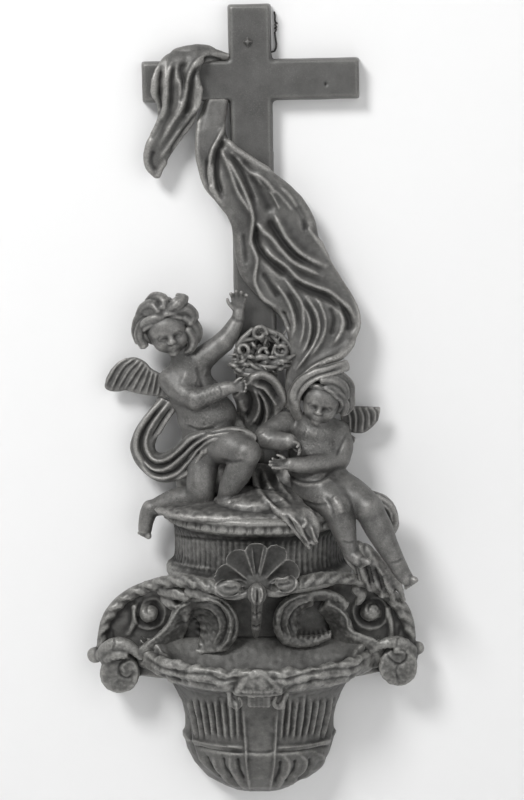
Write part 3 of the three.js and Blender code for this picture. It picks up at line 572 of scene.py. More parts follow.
# each bright colour below stands for rubbed metal and painted highlight alike
crossBronze = makeBronze("crossBronze", metalGroup, {
    "Dark": (0.054, 0.053, 0.051, 1), "Middle": (0.09, 0.089, 0.086, 1), "RubbedAndHighlight": (0.3, 0.295, 0.28, 1),
    "Patch Scale": 60.0, "Grain Scale": 1300.0, "Speckle": 0.35}, metallic=0.3, bump=0.35)
clothBronze = makeBronze("clothBronze", metalGroup, {
    "Dark": (0.052, 0.051, 0.049, 1), "Middle": (0.115, 0.113, 0.108, 1), "RubbedAndHighlight": (0.42, 0.41, 0.39, 1),
    "Patch Scale": 45.0, "Grain Scale": 1000.0, "Speckle": 0.22}, metallic=0.35, bump=0.22)
fleshBronze = makeBronze("fleshBronze", metalGroup, {
    "Dark": (0.056, 0.055, 0.053, 1), "Middle": (0.136, 0.134, 0.129, 1), "RubbedAndHighlight": (0.42, 0.41, 0.39, 1),
    "Patch Scale": 80.0, "Grain Scale": 750.0, "Speckle": 0.25}, metallic=0.4, bump=0.4,
    bumpDistance=0.0003)
ornamentBronze = makeBronze("ornamentBronze", metalGroup, {
    "Dark": (0.056, 0.055, 0.052, 1), "Middle": (0.125, 0.123, 0.117, 1), "RubbedAndHighlight": (0.36, 0.355, 0.335, 1),
    "Patch Scale": 55.0, "Grain Scale": 900.0, "Speckle": 0.2}, metallic=0.35, bump=0.3)
shellBronze = makeBronze("shellBronze", metalGroup, {
    "Dark": (0.04, 0.039, 0.037, 1), "Middle": (0.085, 0.084, 0.08, 1), "RubbedAndHighlight": (0.4, 0.39, 0.37, 1),
    "Patch Scale": 55.0, "Grain Scale": 900.0, "Speckle": 0.15}, metallic=0.35, bump=0.3)
darkIron = makeBronze("darkIron", metalGroup, {
    "Dark": (0.03, 0.029, 0.028, 1), "Middle": (0.07, 0.068, 0.066, 1), "RubbedAndHighlight": (0.34, 0.33, 0.32, 1),
    "Patch Scale": 300.0, "Grain Scale": 1800.0, "Speckle": 0.3}, metallic=0.5, bump=0.3)
print("materials made")


# Camera, wall, floor and lights
stage = {
    "wallGap": 0.0004, "nearRay": 0.0009, "wallSize": 3.0, "wallColour": 0.72, "floorDrop": -0.56,
    "keyPlace": (-0.75, -1.15, 0.95), "keySize": 0.55, "keyPower": 26,
    "fillPlace": (0.9, -1.5, 0.25), "fillSize": 1.6, "fillPower": 9,
    "rearPlace": (-0.3, 1.4, 0.6), "rearSize": 1.4, "rearPower": 16,
    "worldGrey": 0.75, "worldPower": 0.55, "middle": -0.15, "target": (0, -0.03, -0.15),
}


def makePlain(name, grey):
    # clear from behind, and for light that reaches the flat back of the piece on the wall
    material = bpy.data.materials.new(name)
    material.use_nodes = True
    nodes, links = material.node_tree.nodes, material.node_tree.links
    shader = nodes["Principled BSDF"]
    shader.inputs["Base Color"].default_value = (grey, grey, grey, 1)
    shader.inputs["Roughness"].default_value = 0.9
    shader.inputs["Specular IOR Level"].default_value = 0.1
    clear = nodes.new("ShaderNodeBsdfTransparent")
    side = nodes.new("ShaderNodeNewGeometry")
    ray = nodes.new("ShaderNodeLightPath")
    near = nodes.new("ShaderNodeMath")
    near.operation = "LESS_THAN"
    near.inputs[1].default_value = stage["nearRay"]
    either = nodes.new("ShaderNodeMath")
    either.operation = "MAXIMUM"
    mix = nodes.new("ShaderNodeMixShader")
    links.new(ray.outputs["Ray Length"], near.inputs[0])
    links.new(side.outputs["Backfacing"], either.inputs[0])
    links.new(near.outputs[0], either.inputs[1])
    links.new(either.outputs[0], mix.inputs["Fac"])
    links.new(shader.outputs["BSDF"], mix.inputs[1])
    links.new(clear.outputs["BSDF"], mix.inputs[2])
    links.new(mix.outputs["Shader"], nodes["Material Output"].inputs["Surface"])
    return material


def addBackdrop(name, matrix, material):
    bm = bmesh.new()
    bmesh.ops.create_grid(bm, x_segments=1, y_segments=1, size=stage["wallSize"] / 2, matrix=matrix)
    mesh = finishMesh(bm, name)
    mesh.materials.append(material)
    sheet = bpy.data.objects.new(name, mesh)
    bpy.context.scene.collection.objects.link(sheet)


def addLamp(name, place, size, power):
    light = bpy.data.lights.new(name + "Lamp", "AREA")
    light.shape = "DISK"
    light.size = size
    light.energy = power
    lamp = bpy.data.objects.new(name + "Lamp", light)
    lamp.location = place
    lamp.rotation_euler = (Vector(stage["target"]) - Vector(place)).to_track_quat("-Z", "Y").to_euler()
    bpy.context.scene.collection.objects.link(lamp)


def makeStage():
    pale = makePlain("paleWall", stage["wallColour"])
    upright = (Matrix.Translation((0, stage["wallGap"], stage["middle"]))
               @ Matrix.Rotation(math.radians(90), 4, "X"))
    addBackdrop("wall", upright, pale)
    addBackdrop("floor", Matrix.Translation((0, 0, stage["floorDrop"])), pale)
    for name in ("key", "fill", "rear"):
        addLamp(name, stage[name + "Place"], stage[name + "Size"], stage[name + "Power"])
    world = bpy.data.worlds.new("paleWorld")
    world.use_nodes = True
    grey = stage["worldGrey"]
    world.node_tree.nodes["Background"].inputs["Color"].default_value = (grey, grey, grey, 1)
    world.node_tree.nodes["Background"].inputs["Strength"].default_value = stage["worldPower"]
    bpy.context.scene.world = world
    lens = bpy.data.cameras.new("viewer")
    lens.sensor_width = viewing["sensor"]
    lens.sensor_fit = "VERTICAL"
    lens.sensor_height = viewing["sensor"]
    lens.lens = viewing["focal"] * viewing["sensor"] / (2 * viewing["middleY"])
    viewer = bpy.data.objects.new("viewer", lens)
    viewer.location = (viewing["x"] * millimetre, viewing["y"] * millimetre, viewing["z"] * millimetre)
    viewer.rotation_euler = (math.radians(90 - viewing["pitch"]), 0, 0)
    bpy.context.scene.collection.objects.link(viewer)
    bpy.context.scene.camera = viewer
    bpy.context.scene.view_settings.view_transform = "Standard"


makeStage()
print("stage set")


# The cross, which leans a little: a flat casting with softened edges and a drilled nail hole
cross = {
    "postWidth": 24.8, "armHeight": 23.6, "thick": 11, "draft": 2.2, "headRise": 42.6, "armReach": 62,
    "drop": 250, "lean": 1.15, "rounding": 1.1, "grain": 1.1, "nailHole": (326, 84), "holeEdge": (0.8, 2),
    "holeDepth": 2.2, "lumps": [(14, 3, 0.12)],
}


def taperedBar(bm, width, height, centreZ):
    # a bar whose front is narrower than its back, as it leaves the mould
    made = bmesh.ops.create_cube(bm, size=1)["verts"]
    for vertex in made:
        front = vertex.co.y < 0
        narrow = cross["draft"] if front else 0
        vertex.co = Vector((math.copysign(width / 2 - narrow / 2, vertex.co.x),
                            -cross["thick"] if front else 0,
                            centreZ + math.copysign(height / 2 - narrow / 2, vertex.co.z)))
    edges = {edge for vertex in made for edge in vertex.link_edges
             if any(end.co.y < -cross["thick"] / 2 for end in edge.verts)}
    bmesh.ops.bevel(bm, geom=list(edges), offset=cross["rounding"], offset_type="OFFSET", segments=3,
                    profile=0.5, material=-1, affect="EDGES")


def makeCross():
    bm = bmesh.new()
    length = cross["headRise"] + cross["drop"]
    taperedBar(bm, cross["postWidth"], length, cross["headRise"] - length / 2)
    taperedBar(bm, 2 * cross["armReach"], cross["armHeight"], 0)
    bmesh.ops.rotate(bm, verts=bm.verts, matrix=Matrix.Rotation(math.radians(-cross["lean"]), 3, "Y"))
    mesh = remeshed(bm, "cross", cross["grain"])
    places = readMesh(mesh)
    normals = readNormals(mesh)
    raised = places[:, 1] < -0.5
    places += normals * (unevenness(places, cross["lumps"]) * raised)[:, None]
    hole = toPixels(places) - np.array(cross["nailHole"])
    near, far = cross["holeEdge"]
    deep = smoothStep(far, near, np.hypot(hole[:, 0], hole[:, 1]))
    places[:, 1] += deep * cross["holeDepth"] * (normals[:, 1] < -0.6)
    writeMesh(mesh, places)
    return mesh


addPiece("cross", makeCross(), crossBronze, limit=30000, curvatureScales=(0.2, 1.6))


# The shroud: its end over the left arm, a roll on top of the arm, and the long sweep down the post
shroud = {
    "grain": 0.75, "voxel": 0.62, "endThick": 6, "rollThick": 9, "sweepThick": 7,
    "endLeft": [(169, 57, 9), (160, 62, 14), (155, 75, 15.5), (153.5, 92, 15.5), (157, 108, 14.5),
        (157, 122, 13), (149, 141, 12), (145, 155, 11), (146.5, 167, 10), (154, 177.5, 9)],
    "endRight": [(224, 54, 8), (212, 55, 12), (203.5, 61, 15), (200, 72, 15.5), (201, 88, 15.5),
        (198.5, 107, 14.5), (194, 123, 13), (183, 138, 12), (173, 152, 11), (166, 163, 10),
        (160, 177.5, 9)],
    "rollTop": [(165, 60, 6), (173, 52, 6.5), (184, 46.5, 7), (198, 44.5, 7), (210, 46, 7),
        (218, 51.5, 6.5), (229, 54, 6)],
    "rollFoot": [(165, 66, 10), (175, 66, 11), (186, 66, 11.5), (198, 64, 11), (210, 62, 10.5),
        (219, 61, 9.5), (229, 61, 8)],
    "sweepLeft": [(205, 100, 7.5), (201, 112, 9), (198, 126, 11), (196.5, 150, 13), (200, 170, 14),
        (206, 188, 15), (218, 204, 15.5), (230, 222, 15.5), (233, 238, 15), (235, 255, 14.5),
        (240, 274, 14.5), (252, 291, 15.5), (268, 305, 16), (281, 318, 16), (287, 334, 17),
        (288, 352, 18), (286, 372, 19), (285, 392, 20), (286, 410, 20)],
    "sweepRight": [(229, 100, 7.5), (227.5, 112, 9), (226, 125, 11), (228, 139, 12.5), (243, 152, 14),
        (258, 162.5, 14), (273, 172, 14), (290, 185, 14), (305, 201, 14), (315.5, 221, 14.5),
        (319, 238, 15), (328, 257, 15.5), (341, 278, 16), (353, 298, 16.5), (359, 319, 17),
        (356, 338, 19), (346, 352, 23), (334, 361, 26), (320, 368, 28)],
    # height in mm, width to the left and to the right in pixels, and the line from top to bottom
    "endFolds": [
        (2.2, 2.5, 2, [(157, 64), (154.5, 78), (154, 100), (157, 112)]),
        (1.9, 2.5, 3, [(167, 62), (165.5, 78), (164.5, 95), (164, 110), (158, 126), (150, 141),
            (146.5, 156), (149, 168), (155, 178)]),
        (1.6, 1.6, 2, [(172, 63), (168.5, 76), (167, 92), (166, 104)]),
        (1.8, 2.2, 2.2, [(179, 74), (181, 88), (180, 100), (176, 112), (169, 124), (163, 134)]),
        (2.8, 2, 4, [(206, 56), (196, 63), (190, 74), (186, 86), (183, 99), (180, 110), (173, 121),
            (166, 133), (160, 143)]), (1.9, 2.4, 2, [(200.5, 84), (200, 97), (196, 108), (190, 114)]),
        (1.2, 2, 2, [(181, 129), (173, 140), (164, 152), (160, 158)]),
        (1.5, 1.8, 2.5, [(157, 178), (162, 167), (168, 161)]),
        (0.9, 3.5, 3.5, [(170, 52), (184, 50), (200, 52)]),
        (-3.6, 2.2, 2.4, [(159.5, 68), (159, 88), (159, 112)]),
        (-1.8, 1.8, 1.8, [(174, 64), (172, 80), (172, 95), (170, 112)]),
        (-2.6, 3, 3, [(186, 60), (181, 70), (184, 90), (181, 104)]),
        (-3.2, 3, 3.4, [(197, 66), (192, 78), (190, 92), (188, 106), (184, 116)]),
        (-2.4, 2.6, 3.2, [(197, 116), (186, 128), (177, 141), (171, 152)]),
        (-1.3, 1.6, 1.8, [(163, 118), (157, 130), (151, 141)]),
        (-1.3, 2.2, 2.2, [(154, 150), (151, 162), (156, 172)]),
        (-1.6, 2, 1.6, [(222, 62), (210, 58), (203, 59)]),
    ],
    "sweepFolds": [
        (1.5, 2, 2.2, [(202, 104), (199, 125), (197.5, 150), (202, 178), (211, 198), (223, 212)]),
        (2, 1.8, 2.2, [(224, 125), (219, 137), (213, 148), (209.5, 162), (209, 180), (214, 196)]),
        (1.5, 1.8, 1.8, [(213, 162), (213, 178), (216, 194), (223, 205)]),
        (2.2, 3, 2, [(219, 146), (226, 160), (232, 176), (238, 192), (246, 205), (252, 216)]),
        (2.8, 2.2, 2.4, [(226, 155), (237, 176), (246, 195), (252.5, 214), (252, 232), (251, 243)]),
        (2, 2, 2, [(251, 243), (257, 259), (255, 280), (262, 296), (274, 306)]),
        (1.9, 2.4, 2.2, [(225, 138), (235, 149), (250, 158), (262, 166), (273, 172)]),
        (1.6, 1.6, 1.8, [(228, 148), (237, 159), (246, 168), (256, 178), (263, 187)]),
        (1.6, 2.2, 2.2, [(247, 172), (260, 177), (270, 186), (276, 196)]),
        (1.2, 1.4, 1.4, [(269, 190), (275, 200), (280, 210)]),
        (1.2, 1.4, 1.4, [(273, 188), (284, 200), (293, 211)]),
        (1.2, 1.4, 1.4, [(280, 186), (291, 198), (300, 212), (305, 222)]),
        (3.3, 3.2, 4.2, [(254, 219), (262, 230), (272, 238), (281, 249), (294, 262), (309, 270),
            (322, 276)]),
        (3.1, 3, 4.2, [(274, 214), (281, 228), (288, 240), (298, 251), (310, 259), (325, 266)]),
        (2.4, 2.6, 3.2, [(262, 246), (272, 256), (286, 266), (299, 279), (314, 286), (330, 292),
            (344, 304), (355, 318)]),
        (1.9, 2.8, 2, [(309, 229), (317, 240), (326, 252), (335, 264), (344, 278), (352.5, 292),
            (358, 308), (359.5, 324), (356, 340)]),
        (1.5, 1.5, 1.8, [(276, 284), (286, 298), (292, 312), (294.5, 326), (292, 337)]),
        (1.7, 1.6, 2, [(284, 277), (293, 290), (301, 302), (303.5, 316), (303, 332), (299, 346)]),
        (1.5, 1.5, 1.8, [(299, 299), (307, 312), (310, 328), (307, 344), (300, 357)]),
        (1.9, 1.7, 2.2, [(307, 298), (316, 312), (319, 328), (314, 344), (305, 358), (296, 370)]),
        (1.5, 1.6, 2, [(317, 298), (324, 314), (325, 330), (319, 345), (309, 358)]),
        (1.6, 2.2, 2.4, [(330, 295), (339, 306), (343, 320), (340, 334), (332, 346)]),
        (2, 2.4, 2.4, [(358, 336), (350, 349), (339, 357), (325, 362), (311, 369), (300, 379), (291, 389)]),
        (1.5, 2, 2, [(333, 367), (320, 371), (311, 380), (304, 394)]),
        (1.6, 2.6, 2.6, [(296, 384), (290, 396), (289, 408)]),
        (-3.2, 2.2, 2.6, [(224, 138), (219, 150), (216, 166), (217.5, 182), (222, 196)]),
        (-1.8, 1.8, 1.8, [(207, 158), (207, 175), (211, 188)]),
        (-2, 2, 2, [(231, 152), (241, 168), (249, 186), (256, 204)]),
        (-2.4, 5, 5, [(240, 158), (252, 176), (262, 196), (272, 214)]),
        (-3.6, 2.6, 4, [(256, 224), (256, 240), (262, 254), (274, 266), (288, 277)]),
        (-2.6, 3.4, 4, [(268, 218), (275, 232), (284, 246), (296, 258), (308, 264)]),
        (-2.8, 3, 5, [(290, 280), (308, 291), (326, 298), (342, 309), (350, 322), (350, 336)]),
        (-2.2, 2.4, 2.8, [(344, 306), (349, 318), (347, 332)]),
        (-1.6, 2.2, 2.4, [(330, 306), (334, 320), (331, 336)]),
        (-1.5, 1.6, 1.6, [(288, 292), (296, 308), (299, 324)]),
        (-1.4, 1.4, 1.4, [(305, 303), (313, 318), (314, 334), (308, 350)]),
        (-2.6, 1.8, 1.8, [(283, 311), (286, 320), (289, 329)]),
        (-1.8, 2.4, 2.4, [(262, 272), (270, 284), (279, 298)]),
        (-1.7, 2, 2, [(328, 366), (314, 372), (304, 384), (297, 398)]),
        (-1.6, 2.4, 2.4, [(296, 205), (303, 218), (306, 232)]),
        (-1.2, 2.4, 2.4, [(243, 232), (245, 250), (246, 266)]),
    ],
    "crest": (0.45, 1, 1), "lumps": [(5, 11, 0.12)],
}


def makeShroud():
    bm = bmesh.new()
    for part, edgeA, edgeB in (("sweep", "Left", "Right"), ("end", "Left", "Right"), ("roll", "Top", "Foot")):
        cloth = strip(shroud[part + edgeA], shroud[part + edgeB], shroud[part + "Thick"], shroud["grain"])
        joinInto(bm, cloth)
    mesh = remeshed(bm, "shroud", shroud["voxel"], 3)
    pressStrokes(mesh, shroud["endFolds"] + shroud["sweepFolds"], 2)
    # the sharp crests of the high folds
    crests = [(*shroud["crest"], line) for height, _, _, line in shroud["sweepFolds"] if height > 1.7]
    pressStrokes(mesh, crests)
    pushOut(mesh, unevenness(readMesh(mesh), shroud["lumps"]))
    return mesh


addPiece("shroud", makeShroud(), clothBronze, limit=150000, curvatureScales=(0.06, 0.6))


# Heads share one design of their own, on the proportions of a small child
def turnOf(turn):
    return np.array(Euler([math.radians(n) for n in turn], "XYZ").to_matrix())


def headForms(centre, radius, turn):
    matrix = turnOf(turn)

    def at(x, y, z):
        return matrix @ (np.array([x, y, z]) * radius) + centre

    def part(place, radii, blend, cut=False):
        return egg(at(*place), np.array(radii) * radius, blend=blend * radius, cut=cut, matrix=matrix)

    def line(points, blend, cut=False):
        return rods([[*at(*point[:3]), point[3] * radius] for point in points], blend * radius, 0, cut)

    forms = [part((0, 0.1, 0.16), (0.84, 0.92, 0.84), 0.2), part((0, -0.2, -0.28), (0.66, 0.62, 0.64), 0.3),
             part((0, -0.5, 0.22), (0.6, 0.36, 0.42), 0.3)]
    for side in (-1, 1):
        forms.append(part((side * 0.33, -0.52, -0.33), (0.31, 0.3, 0.3), 0.2))
        forms.append(part((side * 0.3, -0.93, -0.02), (0.21, 0.2, 0.12), 0.14, cut=True))
        forms.append(part((side * 0.29, -0.66, -0.03), (0.155, 0.155, 0.135), 0.02))
        lid = [(side * (0.14 + 0.075 * k), -0.775 - 0.05 * math.sin(k * math.pi / 4), -0.035
                + 0.1 * math.sin(k * math.pi / 4), 0.034) for k in range(5)]
        forms += line(lid, 0.03)
        forms += line([(x, y + 0.01, -0.06 - (z + 0.035) * 0.55, 0.022) for x, y, z, _ in lid], 0.03)
        forms += line([(side * 0.1, -0.78, 0.1, 0.05), (side * 0.3, -0.78, 0.16, 0.05),
                       (side * 0.5, -0.64, 0.11, 0.04)], 0.16)
        forms.append(part((side * 0.1, -0.87, -0.25), (0.075, 0.09, 0.065), 0.05))
        forms.append(part((side * 0.06, -0.98, -0.3), (0.03, 0.04, 0.03), 0.03, cut=True))
        forms.append(part((side * 0.83, 0.06, -0.1), (0.1, 0.18, 0.24), 0.06))
    forms += line([(0, -0.78, 0.08, 0.085), (0, -0.86, -0.08, 0.075), (0, -0.95, -0.22, 0.105)], 0.12)
    forms.append(part((0, -0.72, -0.52), (0.24, 0.17, 0.15), 0.12))
    forms += line([(-0.14, -0.77, -0.5, 0.03), (-0.05, -0.85, -0.465, 0.042), (0, -0.855, -0.47, 0.04),
                   (0.05, -0.85, -0.465, 0.042), (0.14, -0.77, -0.5, 0.03)], 0.08)
    forms += line([(-0.09, -0.78, -0.55, 0.04), (0, -0.82, -0.565, 0.055), (0.09, -0.78, -0.55, 0.04)], 0.08)
    forms += line([(-0.15, -0.81, -0.522, 0.012), (0, -0.9, -0.51, 0.012), (0.15, -0.81, -0.522, 0.012)],
                  0.03, cut=True)
    forms.append(part((0, -0.66, -0.77), (0.2, 0.19, 0.16), 0.15))
    return forms, at


def lockForms(at, radius, locks):
    # hair: each lock is (start, middle, end, size) by its bearing and height on the skull, in degrees
    forms = []
    for start, middle, end, size in locks:
        for aside, thin in ((-8, 0.55), (0, 0.7), (8, 0.55)):
            points = []
            for share in np.linspace(0, 1, 5):
                bearing, height, lift = ((1 - share) ** 2 * np.array(start) + 2 * share * (1 - share)
                                         * np.array(middle) + share ** 2 * np.array(end))
                spread = aside * (0.5 + math.sin(math.pi * share))
                bearing, height = math.radians(bearing + spread), math.radians(height + spread * 0.7)
                out = 0.88 + lift - 0.01 * abs(spread) * 0.3
                thick = 0.45 + 0.55 * math.sin(math.pi * min(1, share * 0.8 + 0.2))
                points.append([*at(out * math.sin(bearing) * math.cos(height) * 0.98,
                                   0.08 - out * math.cos(bearing) * math.cos(height) * 1.06,
                                   0.16 + out * math.sin(height) * 0.98), size * thin * radius * thick])
            forms += rods(points, 0.35)
    return forms


def curlForms(curl):
    # a lock of three strands along a pixel path
    path = np.array(curl, dtype=float)
    way = np.gradient(path[:, :2], axis=0)
    way /= np.linalg.norm(way, axis=1)[:, None]
    forms = []
    for aside, thin in ((-1.0, 0.5), (0, 0.68), (1.0, 0.5)):
        strand = path.copy()
        strand[:, 0] -= way[:, 1] * aside * path[:, 3] * 1.0
        strand[:, 1] += way[:, 0] * aside * path[:, 3] * 1.0
        strand[:, 2] += 0.6 - abs(aside) * 0.5
        strand[:, 3] *= thin
        forms += rods(track(strand), 0.35)
    return forms


def handForms(wrist, way, palmSide, size, curl=0.0, spread=0.22, thumb=1):
    # a small hand from its wrist: a palm, four fingers that fan out, and a thumb
    way = np.array(way, dtype=float)
    way /= np.linalg.norm(way)
    out = np.array(palmSide, dtype=float)
    out -= way * (out @ way)
    out /= np.linalg.norm(out)
    aside = np.cross(way, out)
    wrist = np.array(wrist, dtype=float)

    def at(along, across, lift):
        return wrist + (way * along + aside * across + out * lift) * size

    matrix = np.stack([aside, out, way], axis=1)
    forms = [egg(at(0.36, 0, 0), np.array([0.27, 0.15, 0.36]) * size, blend=0.12 * size, matrix=matrix)]
    for k in range(4):
        across = (k - 1.5) * 0.135
        fan = across * (1 + spread * 3)
        length = (0.9, 1.04, 1.0, 0.84)[k]
        forms += rods([[*at(0.5, across, 0), 0.1 * size], [*at(0.74, (across + fan) / 2, 0.02 + curl * 0.1),
                      0.09 * size], [*at(0.6 + (length - 0.6) * (1 - curl * 0.5), fan, 0.04 + curl * 0.4),
                      0.075 * size]], 0.05 * size)
    forms += rods([[*at(0.2, thumb * 0.2, 0.04), 0.1 * size], [*at(0.42, thumb * 0.4, 0.1), 0.08 * size],
                   [*at(0.6, thumb * 0.46, 0.13), 0.062 * size]], 0.05 * size)
    return forms


def footForms(path, toeFrom, toeTo, toeSize):
    # a small foot: its ankle, heel and instep, and five toes from the great toe to the least
    path = track(path)
    forms = rods(path, 1.2)
    first, last = spot(*toeFrom), spot(*toeTo)
    for k in range(5):
        tip = first + (last - first) * k / 4
        root = tip + (np.array(path[-1][:3]) - tip) * 0.7
        size = toeSize * (1 - 0.11 * k)
        forms += rods([[*root, size * 1.2], [*tip, size]], 0.45)
    return forms


clothing = {"grain": 0.7, "voxel": 0.55}
feathering = {"height": 0.65, "width": 1.6, "grain": 0.5, "voxel": 0.45}


def featherStrokes(lines):
    height, width = feathering["height"], feathering["width"]
    strokes = []
    for line in lines:
        strokes.append((-height, width * 0.5, width * 0.8, line))
        beside = [(x - width * 1.1, y - width * 0.4) for x, y in line]
        strokes.append((height * 0.9, width, width * 0.7, beside))
    return strokes


